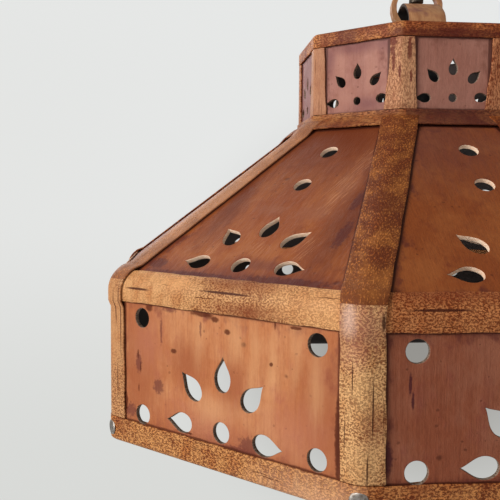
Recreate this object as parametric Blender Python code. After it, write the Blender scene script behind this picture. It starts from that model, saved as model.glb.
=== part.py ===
# Octagonal pendant lamp of birch bark: skirt, sloping cone and collar of pierced
# bark panels, bound along every edge with bark strips, hung on a cord in a bark loop.
# Metres, +Z up. The origin is on the ceiling, at the middle of the hook's plate.

from math import acos, atan2, ceil, cos, hypot, pi, radians, sin, sqrt, tan

import bmesh
import bpy
from mathutils import Matrix, Vector

for old_object in list(bpy.data.objects):
    bpy.data.objects.remove(old_object, do_unlink=True)

# Driving dimensions of the shade
SIDES = 8
SKIRT_ACROSS_FLATS = 0.3775
COLLAR_ACROSS_FLATS = 0.1415
SKIRT_HEIGHT = 0.0878
CONE_RISE = 0.0912
COLLAR_HEIGHT = 0.0523
BARK = 0.0025
STRIP = 0.0010
BINDING = 0.0012
GAP = 0.0003

# Strips over the edges of the panels
EAVE_BEND = 0.0120
EAVE_SETBACK = 0.0048
RIB_WIDTH = 0.0105
EAVE_STRIP_DOWN = 0.0111
EAVE_STRIP_UP = 0.0070
TOP_STRIP_DOWN = 0.0118
TOP_STRIP_UP = 0.0032
COLLAR_STRIP_TOP = 0.0072
COLLAR_STRIP_BASE = 0.0095
BOTTOM_BINDING_HEIGHT = 0.0132
RIM_BINDING_HEIGHT = 0.0086
CORNER_CUT = 0.0005
COLLAR_TUCK = 0.0040
COLLAR_SEAM_SIDE = 4
LAP = 0.0015
BEND_STEPS = 4

# Cut-outs in the panels: a fan of teardrops over a round hole, and round holes
HOLE_RADIUS = 0.0051
FAN_RADIUS = 0.0048
FAN_REACH = 0.0248
FAN_TIP = 0.0370
FAN_RAYS = 5
SKIRT_FAN_HEIGHT = 0.0192
SKIRT_HOLE_ASIDE = 0.0552
SKIRT_HOLE_HIGH = 0.0690
CONE_FAN_HEIGHT = 0.0185
CONE_LOW_HOLE = 0.0840
CONE_HIGH_HOLE = 0.1145
SMALL_HOLE_RADIUS = 0.0023
SMALL_FAN_RADIUS = 0.0024
SMALL_FAN_REACH = 0.0152
SMALL_FAN_TIP = 0.0218
COLLAR_FAN_HEIGHT = 0.0100
HOLE_POINTS = 10
DROP_POINTS = 7
SMALL_HOLE_POINTS = 8
SMALL_DROP_POINTS = 5

# Rivets
RIVET_HEAD_RADIUS = 0.0043
RIVET_HEAD_HEIGHT = 0.0019
RIVET_SHANK_RADIUS = 0.0015
RIVET_TAIL_RADIUS = 0.0028
RIVET_TAIL_HEIGHT = 0.0007
CORNER_RIVET_HEIGHT = 0.0066

# Bow across the collar and the loop that carries it
BOW_WIDTH = 0.0200
BOW_THICKNESS = 0.0060
BOW_RISE = 0.0230
BOW_LEG = 0.0240
BOW_BEND = 0.0140
BOW_SKEW = 0.0100
LOOP_RADIUS = 0.0147
LOOP_THICKNESS = 0.0032
LOOP_WIDTH = 0.0095
LOOP_STEPS = 24

# Cord with its lock, and the lampholder
CORD_DIAMETER = 0.0046
CORD_CLEARANCE = 0.0004
LOCK_RADIUS = 0.0046
LOCK_HEIGHT = 0.0090
SCREW_RADIUS = 0.0015
SCREW_HEAD_RADIUS = 0.0025
SCREW_HEAD = 0.0012
CAP_NOSE_RADIUS = 0.0085
HOLDER_RADIUS = 0.0198
CAP_HEIGHT = 0.0260
HOLDER_WALL = 0.0018
SHELL_HEIGHT = 0.0350
MOUTH_RADIUS = 0.0152
MOUTH_LIP = 0.0020
INSERT_HEIGHT = 0.0110
INSERT_SINK = 0.0030
SLEEVE_RADIUS = 0.0132
SLEEVE_WALL = 0.0005
SLEEVE_HEIGHT = 0.0210
CONTACT_WIDTH = 0.0060
CONTACT_THICKNESS = 0.0006
CONTACT_DROP = 0.0050
GRIP_RADIUS = 0.0070
GRIP_HEIGHT = 0.0060
ROUND_STEPS = 20

# Ceiling fitting
PLATE_RADIUS = 0.0210
PLATE_THICKNESS = 0.0022
PLATE_HOLE_RADIUS = 0.0023
PLATE_HOLE_ASIDE = 0.0145
HOOK_WIRE = 0.0036
HOOK_RADIUS = 0.0062
HOOK_SHANK = 0.0100
HANGER_WIDTH = 0.0120
HANGER_DEPTH = 0.0080
HANGER_HEIGHT = 0.0150
EYE_RADIUS = 0.0050
EYE_WIRE = 0.0024
CUP_RADIUS = 0.0440
CUP_HEIGHT = 0.0560
CUP_WALL = 0.0020
CUP_NECK_RADIUS = 0.0085
CUP_NECK_HEIGHT = 0.0090
CUP_CEILING_GAP = 0.0008
CUP_STEPS = 24
CORD_DROP = 0.0300

# Sizes that follow from the driving dimensions
HALF_ANGLE = pi / SIDES
CORNER_SLOPE = tan(HALF_ANGLE)
SKIRT_R = SKIRT_ACROSS_FLATS / 2
COLLAR_R = COLLAR_ACROSS_FLATS / 2
CONE_RUN = SKIRT_R - COLLAR_R
SLOPE_LENGTH = hypot(CONE_RUN, CONE_RISE)
CONE_COS = CONE_RUN / SLOPE_LENGTH
CONE_SIN = CONE_RISE / SLOPE_LENGTH
CONE_NORMAL_ANGLE = atan2(CONE_COS, CONE_SIN)
SHADE_HEIGHT = SKIRT_HEIGHT + CONE_RISE + COLLAR_HEIGHT
CORD_RADIUS = CORD_DIAMETER / 2
CORD_HOLE = CORD_RADIUS + CORD_CLEARANCE
CUP_BOTTOM = -CUP_CEILING_GAP - CUP_HEIGHT
LOOP_TOP = CUP_BOTTOM - CORD_DROP
LOOP_OUTER = LOOP_RADIUS + LOOP_THICKNESS / 2
LOOP_INNER = LOOP_RADIUS - LOOP_THICKNESS / 2
LOOP_CENTRE = LOOP_TOP - LOOP_OUTER
BOW_WALL = COLLAR_R - BARK - GAP * 2 - BINDING
BOW_LEAN = BOW_SKEW / BOW_WALL
BOW_CORNER = BOW_WIDTH / 2 + GAP
BOW_SEAT = sqrt((LOOP_INNER * cos(pi / LOOP_STEPS)) ** 2 - BOW_CORNER ** 2)
BOW_TOP = LOOP_CENTRE - BOW_SEAT + GAP + BOW_THICKNESS
RIM = BOW_TOP - BOW_RISE
BASE = RIM - SHADE_HEIGHT
EAVE = BASE + SKIRT_HEIGHT
CONE_TOP = EAVE + CONE_RISE


def material(name, colour, roughness, metallic=0.0):
    made = bpy.data.materials.new(name)
    made.use_nodes = True
    shader = made.node_tree.nodes["Principled BSDF"]
    shader.inputs["Base Color"].default_value = (*colour, 1.0)
    shader.inputs["Roughness"].default_value = roughness
    shader.inputs["Metallic"].default_value = metallic
    made.diffuse_color = (*colour, 1.0)
    return made


SKIRT_BARK = material("skirt_bark", (0.47, 0.20, 0.09), 0.45)
CONE_BARK = material("cone_bark", (0.30, 0.10, 0.05), 0.40)
COLLAR_BARK = material("collar_bark", (0.38, 0.19, 0.14), 0.50)
RIB_BARK = material("rib_bark", (0.42, 0.21, 0.09), 0.50)
STRIP_BARK = material("strip_bark", (0.52, 0.28, 0.11), 0.50)
BINDING_BARK = material("binding_bark", (0.45, 0.20, 0.08), 0.50)
NICKEL = material("nickel", (0.62, 0.60, 0.57), 0.30, 1.0)
BRASS = material("brass", (0.60, 0.42, 0.16), 0.30, 1.0)
BLACK_PLASTIC = material("holder_plastic", (0.02, 0.02, 0.02), 0.40)
PORCELAIN = material("porcelain", (0.75, 0.73, 0.68), 0.30)
CORD_COVER = material("cord_cover", (0.03, 0.03, 0.03), 0.60)
NYLON = material("nylon", (0.70, 0.68, 0.62), 0.50)
CUP_PLASTIC = material("cup_plastic", (0.03, 0.02, 0.02), 0.40)


def empty(name, place):
    guide = bpy.data.objects.new(name, None)
    guide.location = place
    bpy.context.collection.objects.link(guide)
    return guide


SHADE = empty("shade_pivot", (0, 0, RIM))
CUP = empty("cup_pivot", (0, 0, CUP_BOTTOM))


def place(name, mesh, look, parent=None, turn=0.0):
    """Links a piece whose mesh is written about the lamp's axis, in ceiling heights."""
    piece = bpy.data.objects.new(name, mesh)
    if not mesh.materials:
        mesh.materials.append(look)
    bpy.context.collection.objects.link(piece)
    piece.rotation_euler = (0, 0, turn)
    if parent:
        piece.parent = parent
        piece.location = (0, 0, -parent.location.z)
    return piece


def finish_mesh(bm, name, smooth=None):
    """Closes a bmesh into a mesh with outward faces."""
    bmesh.ops.remove_doubles(bm, verts=bm.verts, dist=0.000001)
    bmesh.ops.recalc_face_normals(bm, faces=bm.faces)
    mesh = bpy.data.meshes.new(name)
    bm.to_mesh(mesh)
    bm.free()
    if smooth:
        mesh.shade_smooth()
        mesh.set_sharp_from_angle(angle=radians(smooth))
    return mesh


def side_angle(side):
    """Direction of a side's outward normal; side 0 faces -Y."""
    return -pi / 2 + side * 2 * HALF_ANGLE


def on_side(side, aside, out, height):
    """Point at a distance from the axis, square to a side, and aside along the side."""
    angle = side_angle(side)
    x = out * cos(angle) - aside * sin(angle)
    y = out * sin(angle) + aside * cos(angle)
    return Vector((x, y, height))


def corner_aside(out, start, ease):
    """Half the width of a side at a distance from the axis, short of the eased corner.

    The corner is cut back by ease on the surface at the distance start, and keeps the
    same wall thickness on every other surface."""
    reach = start / cos(HALF_ANGLE) - ease + out - start
    return (reach - out * cos(HALF_ANGLE)) / sin(HALF_ANGLE)


# Profiles of the shade's outer surface, as distance from the axis and height

def cone_point(up_slope, proud=0.0):
    """Point up the slope from the eave, proud of the cone's outer surface."""
    out = SKIRT_R - up_slope * CONE_COS + proud * CONE_SIN
    height = EAVE + up_slope * CONE_SIN + proud * CONE_COS
    return out, height


def eave_arc(proud):
    """Round bend over the eave for a surface proud of the panels."""
    radius = EAVE_BEND + proud
    centre_out = SKIRT_R - EAVE_BEND
    centre_height = EAVE - EAVE_BEND * tan(CONE_NORMAL_ANGLE / 2)
    points = []
    for step in range(BEND_STEPS + 1):
        angle = CONE_NORMAL_ANGLE * step / BEND_STEPS
        points.append((centre_out + radius * cos(angle), centre_height + radius * sin(angle)))
    return points


def rib_aside(out, share_of_cone):
    """Where a corner rib's edge lies on a side; on the cone the rib runs aslant."""
    aslant = 1 / cos(atan2(CORNER_SLOPE * CONE_COS, 1.0))
    width = RIB_WIDTH * (1 + (aslant - 1) * share_of_cone)
    return out * CORNER_SLOPE - width


def skin(bm, rings, closed=False):
    """Joins rings of points into a body; open runs are capped at both ends."""
    made = [[bm.verts.new(point) for point in ring] for ring in rings]
    pairs = list(zip(made, made[1:]))
    if closed:
        pairs.append((made[-1], made[0]))
    for first, second in pairs:
        count = len(first)
        for i in range(count):
            j = (i + 1) % count
            bm.faces.new((first[i], first[j], second[j], second[i]))
    if not closed:
        bm.faces.new(made[0])
        bm.faces.new(list(reversed(made[-1])))


def cut(piece, cutters):
    """Cuts tools out of a piece; the tools stay hidden beside it."""
    for tool in cutters:
        tool.hide_render = True
        tool.display_type = "WIRE"
        step = piece.modifiers.new("cut_" + tool.name, "BOOLEAN")
        step.operation = "DIFFERENCE"
        step.solver = "EXACT"
        step.object = tool


def rod(bm, start, end, radius, steps, turn=0.0):
    """Straight round bar between two points."""
    start = Vector(start)
    end = Vector(end)
    along = (end - start).normalized()
    frame = along.to_track_quat("Z", "Y").to_matrix()
    rings = []
    for middle in (start, end):
        ring = []
        for i in range(steps):
            angle = turn + 2 * pi * i / steps
            ring.append(middle + frame @ Vector((radius * cos(angle), radius * sin(angle), 0)))
        rings.append(ring)
    skin(bm, rings)


def turned(bm, profile, steps, frame=Matrix.Identity(4)):
    """Closed profile of (radius, height) turned about the Z axis of a frame."""
    rings = []
    for i in range(steps):
        angle = 2 * pi * i / steps
        ring = [frame @ Vector((r * cos(angle), r * sin(angle), z)) for r, z in profile]
        rings.append(ring)
    skin(bm, rings, closed=True)


# Pierced bark panels

def round_hole(x, y, radius, count=HOLE_POINTS):
    points = []
    for i in range(count):
        angle = 2 * pi * (i + 0.5) / count
        points.append((x + radius * cos(angle), y + radius * sin(angle)))
    return points


def teardrop(x, y, direction, radius, reach, tip, count):
    """Drop with its round end at reach from a centre and its point at tip."""
    half_open = acos(radius / (tip - reach))
    points = [(x + tip * cos(direction), y + tip * sin(direction))]
    for i in range(count):
        angle = direction + half_open + (2 * pi - 2 * half_open) * i / (count - 1)
        middle_x = x + reach * cos(direction)
        middle_y = y + reach * sin(direction)
        points.append((middle_x + radius * cos(angle), middle_y + radius * sin(angle)))
    return points


def fan(height, hole, radius, reach, tip, hole_count=HOLE_POINTS, drop_count=DROP_POINTS):
    """Half flower: a round hole with teardrops spread over it from side to side."""
    cuts = [round_hole(0, height, hole, hole_count)]
    for ray in range(FAN_RAYS):
        direction = pi * ray / (FAN_RAYS - 1)
        cuts.append(teardrop(0, height, direction, radius, reach, tip, drop_count))
    return cuts


def sheet(bm, side, outline, holes, foot, lean_cos, lean_sin, mitre=0.0, joined=()):
    """Flat bark sheet on a side, drawn as (aside, up) on its outer face.

    foot is the outer face's lowest line as (out, height); going up, the face leans
    in towards the axis by lean_cos and rises by lean_sin. An edge joined to the next
    side has no end face, and its inner corners draw in by mitre."""
    def on_fold(aside):
        return any(abs(aside - x) < GAP / 10 for x in joined)

    before = set(bm.verts)
    for loop in [outline] + holes:
        verts = [bm.verts.new((x, y, 0)) for x, y in loop]
        for i, vert in enumerate(verts):
            bm.edges.new((vert, verts[(i + 1) % len(verts)]))
    front = [vert for vert in bm.verts if vert not in before]
    edges = [edge for edge in bm.edges if edge.verts[0] not in before]
    bmesh.ops.triangle_fill(bm, edges=edges, use_beauty=True, normal=(0, 0, 1))
    faces = [face for face in bm.faces if face.verts[0] not in before]
    rim = [edge for edge in bm.edges if edge.verts[0] not in before and edge.is_boundary]
    drawn = {vert: vert.co.copy() for vert in front}
    twin = {vert: bm.verts.new(vert.co) for vert in front}
    for face in faces:
        bm.faces.new([twin[vert] for vert in reversed(face.verts)])
    for edge in rim:
        a, b = edge.verts
        upright = abs(drawn[a].x - drawn[b].x) < GAP / 10
        if not (upright and on_fold(drawn[a].x)):
            bm.faces.new((a, b, twin[b], twin[a]))
    for vert in front:
        aside, up = drawn[vert].x, drawn[vert].y
        out = foot[0] - up * lean_cos
        height = foot[1] + up * lean_sin
        vert.co = on_side(side, aside, out, height)
        if on_fold(aside):
            aside -= mitre if aside > 0 else -mitre
        twin[vert].co = on_side(side, aside, out - BARK * lean_sin, height - BARK * lean_cos)


def panel_mesh(name, outline, holes, foot, lean_cos, lean_sin):
    bm = bmesh.new()
    sheet(bm, 0, outline, holes, foot, lean_cos, lean_sin)
    return finish_mesh(bm, name)


def build_skirt_panels():
    low = BINDING + GAP
    high = SKIRT_HEIGHT - EAVE_SETBACK
    aside = (SKIRT_R - BARK) * CORNER_SLOPE - GAP / 2
    notch = (RIVET_SHANK_RADIUS + GAP) / cos(HALF_ANGLE)
    notch_low = CORNER_RIVET_HEIGHT - RIVET_SHANK_RADIUS - GAP
    notch_high = CORNER_RIVET_HEIGHT + RIVET_SHANK_RADIUS + GAP
    right = [(aside, low), (aside, notch_low), (aside - notch, notch_low),
             (aside - notch, notch_high), (aside, notch_high), (aside, high)]
    left = [(-x, y) for x, y in reversed(right)]
    holes = fan(SKIRT_FAN_HEIGHT, HOLE_RADIUS, FAN_RADIUS, FAN_REACH, FAN_TIP)
    for x in (-SKIRT_HOLE_ASIDE, SKIRT_HOLE_ASIDE):
        for y in (SKIRT_FAN_HEIGHT, SKIRT_HOLE_HIGH):
            holes.append(round_hole(x, y, HOLE_RADIUS))
    mesh = panel_mesh("skirt_panel", right + left, holes, (SKIRT_R, BASE), 0.0, 1.0)
    for side in range(SIDES):
        turn = side * 2 * HALF_ANGLE
        place("skirt_panel_%d" % (side + 1), mesh, SKIRT_BARK, SHADE, turn)


def build_cone_panels():
    low = EAVE_SETBACK
    high = (SKIRT_R - COLLAR_R - GAP) / CONE_COS - BARK * CONE_SIN / CONE_COS
    corners = []
    for up in (low, high):
        inner_out = cone_point(up)[0] - BARK * CONE_SIN
        corners.append((inner_out * CORNER_SLOPE - GAP / 2, up))
    outline = corners + [(-x, y) for x, y in reversed(corners)]
    holes = fan(CONE_FAN_HEIGHT, HOLE_RADIUS, FAN_RADIUS, FAN_REACH, FAN_TIP)
    holes.append(round_hole(0, CONE_LOW_HOLE, HOLE_RADIUS))
    holes.append(round_hole(0, CONE_HIGH_HOLE, HOLE_RADIUS))
    foot = (SKIRT_R, EAVE)
    mesh = panel_mesh("cone_panel", outline, holes, foot, CONE_COS, CONE_SIN)
    for side in range(SIDES):
        turn = side * 2 * HALF_ANGLE
        place("cone_panel_%d" % (side + 1), mesh, CONE_BARK, SHADE, turn)


def build_collar_band():
    """One long strip of bark folded at seven corners; its ends meet at the eighth."""
    low = -COLLAR_TUCK
    high = COLLAR_HEIGHT - BINDING - GAP
    fold = COLLAR_R * CORNER_SLOPE
    mitre = BARK * CORNER_SLOPE
    end = fold - mitre - GAP / 2
    holes = fan(COLLAR_FAN_HEIGHT, SMALL_HOLE_RADIUS, SMALL_FAN_RADIUS,
                SMALL_FAN_REACH, SMALL_FAN_TIP, SMALL_HOLE_POINTS, SMALL_DROP_POINTS)
    bm = bmesh.new()
    for side in range(SIDES):
        right = end if side == COLLAR_SEAM_SIDE else fold
        left = -end if side == COLLAR_SEAM_SIDE + 1 else -fold
        outline = [(right, low), (right, high), (left, high), (left, low)]
        foot = (COLLAR_R, CONE_TOP)
        sheet(bm, side, outline, holes, foot, 0.0, 1.0, mitre, (-fold, fold))
    place("collar_band", finish_mesh(bm, "collar_band"), COLLAR_BARK, SHADE)


# Bark strips that cover the panels' edges

def corner_section(out, height, edge, start, ease):
    """One surface of a folded strip across a corner, from side 0 round to side 1."""
    bend = corner_aside(out, start, ease)
    return [on_side(0, edge, out, height), on_side(0, bend, out, height),
            on_side(1, -bend, out, height), on_side(1, -edge, out, height)]


def folded_strip(bm, stations, ease):
    """Strip over a corner; each station is inner and outer (out, height) and an edge."""
    rings = []
    for inner, outer, edge in stations:
        start = inner[0]
        inside = corner_section(inner[0], inner[1], edge, start, ease)
        outside = corner_section(outer[0], outer[1], edge, start, ease)
        rings.append(inside + list(reversed(outside)))
    skin(bm, rings)


def build_corner_ribs():
    """Rib strips run from the bottom binding to the collar, over both cross bands."""
    over = GAP * 2 + STRIP
    foot = BASE + BOTTOM_BINDING_HEIGHT + GAP
    band_foot = EAVE - EAVE_STRIP_DOWN - GAP
    band_head = EAVE_STRIP_UP + GAP
    top_foot = SLOPE_LENGTH - TOP_STRIP_DOWN - GAP
    head = (CONE_RUN - STRIP * 2 - GAP * 3) / CONE_COS

    def surface(proud):
        skirt = [(SKIRT_R + GAP + proud, foot), (SKIRT_R + GAP + proud, band_foot - LAP),
                 (SKIRT_R + over + proud, band_foot)]
        cone = [(band_head, over), (band_head + LAP, GAP), (top_foot - LAP, GAP),
                (top_foot, over), (head, over)]
        return skirt + eave_arc(over + proud) + [cone_point(u, p + proud) for u, p in cone]

    inner = surface(0.0)
    edges = [rib_aside(SKIRT_R, 0)] * 3
    edges += [rib_aside(SKIRT_R, step / BEND_STEPS) for step in range(BEND_STEPS + 1)]
    edges += [rib_aside(point[0], 1) for point in inner[len(edges):]]
    bm = bmesh.new()
    folded_strip(bm, list(zip(inner, surface(STRIP), edges)), CORNER_CUT)
    mesh = finish_mesh(bm, "corner_rib", 25)
    for side in range(SIDES):
        turn = side * 2 * HALF_ANGLE
        place("corner_rib_%d" % (side + 1), mesh, RIB_BARK, SHADE, turn)


def band_ring(bm, inner, outer, ease):
    """Strip that runs all round the shade, between two surfaces of its side view."""
    profile = inner + list(reversed(outer))
    starts = [point[0] for point in inner]
    starts += list(reversed(starts))
    rings = []
    for side in range(SIDES):
        for end in (-1, 1):
            ring = []
            for (out, height), start in zip(profile, starts):
                aside = corner_aside(out, start, ease)
                ring.append(on_side(side, end * aside, out, height))
            rings.append(ring)
    skin(bm, rings, closed=True)


def build_eave_strip():
    foot = EAVE - EAVE_STRIP_DOWN

    def surface(proud):
        return [(SKIRT_R + proud, foot)] + eave_arc(proud) + [cone_point(EAVE_STRIP_UP, proud)]

    bm = bmesh.new()
    band_ring(bm, surface(GAP), surface(GAP + STRIP), CORNER_CUT)
    place("eave_strip", finish_mesh(bm, "eave_strip", 25), STRIP_BARK, SHADE)


def build_cone_top_strip():
    low = SLOPE_LENGTH - TOP_STRIP_DOWN
    head = CONE_TOP + TOP_STRIP_UP

    def surface(proud):
        along = (CONE_RUN - proud + proud * CONE_SIN) / CONE_COS
        return [cone_point(low, proud), cone_point(along, proud), (COLLAR_R + proud, head)]

    bm = bmesh.new()
    band_ring(bm, surface(GAP), surface(GAP + STRIP), GAP / 3)
    place("cone_top_strip", finish_mesh(bm, "cone_top_strip"), STRIP_BARK, SHADE)


def build_collar_corner_strips():
    low = CONE_TOP + TOP_STRIP_UP + GAP
    high = RIM - RIM_BINDING_HEIGHT - GAP
    inner_out = COLLAR_R + GAP
    outer_out = inner_out + STRIP
    half = COLLAR_R * CORNER_SLOPE
    stations = [((inner_out, low), (outer_out, low), half - COLLAR_STRIP_BASE),
                ((inner_out, high), (outer_out, high), half - COLLAR_STRIP_TOP)]
    bm = bmesh.new()
    folded_strip(bm, stations, GAP / 3)
    mesh = finish_mesh(bm, "collar_corner_strip")
    for side in range(SIDES):
        turn = side * 2 * HALF_ANGLE
        place("collar_corner_strip_%d" % (side + 1), mesh, STRIP_BARK, SHADE, turn)


def channel_ring(bm, radius, edge, height, up, ease):
    """Bark folded over a panel edge all round: legs outside and inside, joined past it."""
    outer = radius + GAP + BINDING
    inner = radius - BARK - GAP - BINDING
    profile = [(outer, edge), (outer, edge + up * height),
               (outer - BINDING, edge + up * height), (outer - BINDING, edge + up * BINDING),
               (inner + BINDING, edge + up * BINDING), (inner + BINDING, edge + up * height),
               (inner, edge + up * height), (inner, edge)]
    start = outer - BINDING
    rings = []
    for side in range(SIDES):
        for end in (-1, 1):
            ring = []
            for out, z in profile:
                ring.append(on_side(side, end * corner_aside(out, start, ease), out, z))
            rings.append(ring)
    skin(bm, rings, closed=True)


def rivet_frame(angle, out, height):
    """Frame whose Z axis points out from the lamp's axis."""
    turn = Matrix.Rotation(angle, 4, "Z") @ Matrix.Rotation(pi / 2, 4, "Y")
    return Matrix.Translation((out * cos(angle), out * sin(angle), height)) @ turn


def rivet(bm, frame, grip):
    """Domed rivet; its head sits at the frame and its tail holds at -grip."""
    head = []
    steps = 3
    for step in range(steps + 1):
        angle = pi / 2 * step / steps
        head.append((max(RIVET_HEAD_RADIUS * sin(angle), 0.0), RIVET_HEAD_HEIGHT * cos(angle)))
    side = [(RIVET_SHANK_RADIUS, 0.0), (RIVET_SHANK_RADIUS, -grip), (RIVET_TAIL_RADIUS, -grip),
            (RIVET_TAIL_RADIUS, -grip - RIVET_TAIL_HEIGHT), (0.0, -grip - RIVET_TAIL_HEIGHT)]
    spun(bm, head + side, HOLE_POINTS, frame)


def spun(bm, profile, steps, frame=Matrix.Identity(4)):
    """Solid turned from an open profile that starts and ends on the axis."""
    poles = [bm.verts.new(frame @ Vector((0, 0, profile[i][1]))) for i in (0, -1)]
    rings = []
    for radius, height in profile[1:-1]:
        ring = []
        for i in range(steps):
            angle = 2 * pi * i / steps
            point = Vector((radius * cos(angle), radius * sin(angle), height))
            ring.append(bm.verts.new(frame @ point))
        rings.append(ring)
    for i in range(steps):
        j = (i + 1) % steps
        bm.faces.new((poles[0], rings[0][i], rings[0][j]))
        bm.faces.new((poles[1], rings[-1][j], rings[-1][i]))
        for first, second in zip(rings, rings[1:]):
            bm.faces.new((first[i], second[i], second[j], first[j]))


def corner_reach(out, start):
    """Distance from the axis to the eased corner of a surface."""
    return start / cos(HALF_ANGLE) - CORNER_CUT + out - start


def build_bottom_binding():
    bm = bmesh.new()
    channel_ring(bm, SKIRT_R, BASE, BOTTOM_BINDING_HEIGHT, 1, CORNER_CUT)
    mesh = finish_mesh(bm, "bottom_binding")
    ring = place("bottom_binding", mesh, BINDING_BARK, SHADE)
    bm = bmesh.new()
    inside = SKIRT_R - BARK * 4
    outside = (SKIRT_R + BARK * 4) / cos(HALF_ANGLE)
    height = BASE + CORNER_RIVET_HEIGHT
    for side in range(SIDES):
        angle = side_angle(side) + HALF_ANGLE
        start = (inside * cos(angle), inside * sin(angle), height)
        end = (outside * cos(angle), outside * sin(angle), height)
        rod(bm, start, end, RIVET_SHANK_RADIUS + GAP, SIDES)
    tool = place("rivet_hole_cutter", finish_mesh(bm, "rivet_hole_cutter"), NICKEL, SHADE)
    cut(ring, [tool])


def build_corner_rivets():
    start = SKIRT_R + GAP
    outside = corner_reach(start + BINDING, start) + GAP
    crease = RIVET_TAIL_RADIUS * CORNER_SLOPE - CORNER_CUT
    inside = corner_reach(SKIRT_R - BARK - GAP - BINDING, start) - crease - GAP
    bm = bmesh.new()
    angle = side_angle(0) + HALF_ANGLE
    rivet(bm, rivet_frame(angle, outside, BASE + CORNER_RIVET_HEIGHT), outside - inside)
    mesh = finish_mesh(bm, "corner_rivet", 40)
    for side in range(SIDES):
        turn = side * 2 * HALF_ANGLE
        place("corner_rivet_%d" % (side + 1), mesh, NICKEL, SHADE, turn)


def build_rim_binding():
    bm = bmesh.new()
    channel_ring(bm, COLLAR_R, RIM, RIM_BINDING_HEIGHT, -1, GAP / 3)
    place("rim_binding", finish_mesh(bm, "rim_binding"), BINDING_BARK, SHADE)


# Bow across the collar, and the loop round it

def bow_line(inset):
    """Half of the bow's side view, from the crest to the end of its leg."""
    knee = RIM + BOW_RISE / 3
    span = BOW_WALL - BOW_BEND / 2
    crown = (span ** 2 + (BOW_TOP - knee) ** 2) / (2 * (BOW_TOP - knee))
    lean = atan2(span, crown - (BOW_TOP - knee))
    reach = (crown - BOW_BEND) * sin(lean)
    shift = (BOW_WALL - BOW_BEND) / reach
    points = []
    steps = 5
    for step in range(steps):
        angle = lean * step / steps
        points.append(((crown * shift - inset) * sin(angle), BOW_TOP - inset - crown * (1 - cos(angle))))
    centre_height = BOW_TOP - BOW_BEND - (crown - BOW_BEND) * (1 - cos(lean))
    radius = BOW_BEND - inset
    for step in range(steps + 1):
        angle = lean + (pi / 2 - lean) * step / steps
        points.append((BOW_WALL - BOW_BEND + radius * sin(angle), centre_height + radius * cos(angle)))
    points.append((BOW_WALL - inset, RIM - BOW_LEG))
    return points


def build_bow():
    outer = bow_line(0.0)
    inner = bow_line(BOW_THICKNESS)
    outline = [(-y, z) for y, z in reversed(outer)] + outer[1:]
    outline += list(reversed(inner)) + [(-y, z) for y, z in inner[1:]]
    bm = bmesh.new()
    rings = []
    for x in (-BOW_WIDTH / 2, BOW_WIDTH / 2):
        rings.append([(x + y * BOW_LEAN, y, z) for y, z in outline])
    skin(bm, rings)
    bow = place("bow_handle", finish_mesh(bm, "bow_handle", 25), RIB_BARK, SHADE)
    bm = bmesh.new()
    rod(bm, (0, 0, RIM - BOW_LEG), (0, 0, LOOP_CENTRE), CORD_HOLE, HOLE_POINTS)
    cut(bow, [place("bow_cutter", finish_mesh(bm, "bow_cutter"), NICKEL, SHADE)])


def build_loop():
    bm = bmesh.new()
    rings = []
    half = LOOP_WIDTH / 2
    along = Vector((BOW_LEAN, 1, 0)).normalized()
    aside = Vector((along.y, -along.x, 0))
    for step in range(LOOP_STEPS):
        angle = 2 * pi * (step + 0.5) / LOOP_STEPS
        across = aside * sin(angle) + Vector((0, 0, cos(angle)))
        middle = Vector((0, 0, LOOP_CENTRE))
        ring = []
        for radius, shift in ((LOOP_OUTER, -half), (LOOP_OUTER, half),
                              (LOOP_INNER, half), (LOOP_INNER, -half)):
            ring.append(middle + across * radius + along * shift)
        rings.append(ring)
    skin(bm, rings, closed=True)
    loop = place("hanging_loop", finish_mesh(bm, "hanging_loop", 40), RIB_BARK, SHADE)
    bm = bmesh.new()
    below = LOOP_CENTRE - LOOP_RADIUS * 2
    rod(bm, (0, 0, below), (0, 0, LOOP_TOP + LOOP_RADIUS), CORD_HOLE, HOLE_POINTS)
    cut(loop, [place("loop_cutter", finish_mesh(bm, "loop_cutter"), NICKEL, SHADE)])


# Cord, its lock and the lampholder, which hang straight down the axis

LOOP_BORE = LOOP_INNER * cos(pi / LOOP_STEPS)
LOCK_TOP = LOOP_CENTRE + sqrt(LOOP_BORE ** 2 - LOCK_RADIUS ** 2) - GAP
LOCK_FOOT = LOCK_TOP - LOCK_HEIGHT
CAP_TOP = LOOP_CENTRE - LOOP_OUTER * cos(pi / LOOP_STEPS) - GAP * 2
CAP_FOOT = CAP_TOP - CAP_HEIGHT
SHELL_TOP = CAP_FOOT - GAP
SHELL_FOOT = SHELL_TOP - SHELL_HEIGHT
INSERT_TOP = SHELL_TOP - INSERT_SINK
INSERT_FOOT = INSERT_TOP - INSERT_HEIGHT
GRIP_TOP = CAP_TOP - HOLDER_WALL - GAP
HOOK_CENTRE = -PLATE_THICKNESS - HOOK_SHANK
EYE_TOP = HOOK_CENTRE - HOOK_RADIUS + HOOK_WIRE / 2 + GAP + EYE_WIRE
HANGER_TOP = EYE_TOP - EYE_RADIUS * 2 - EYE_WIRE / 2
HANGER_FOOT = HANGER_TOP - HANGER_HEIGHT
CORD_TOP = HANGER_TOP - HANGER_HEIGHT / 3
CORD_FOOT = INSERT_TOP + GAP


def build_cord():
    length = CORD_TOP - CORD_FOOT
    count = ceil(length / (CORD_DIAMETER * 2.5)) + 1
    curve = bpy.data.curves.new("cord", "CURVE")
    curve.dimensions = "3D"
    curve.bevel_depth = CORD_RADIUS
    curve.bevel_resolution = 2
    curve.use_fill_caps = True
    spline = curve.splines.new("POLY")
    spline.points.add(count - 1)
    for i, point in enumerate(spline.points):
        point.co = (0, 0, CORD_TOP - length * i / (count - 1), 1)
    curve.materials.append(CORD_COVER)
    cord = bpy.data.objects.new("cord", curve)
    bpy.context.collection.objects.link(cord)


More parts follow.
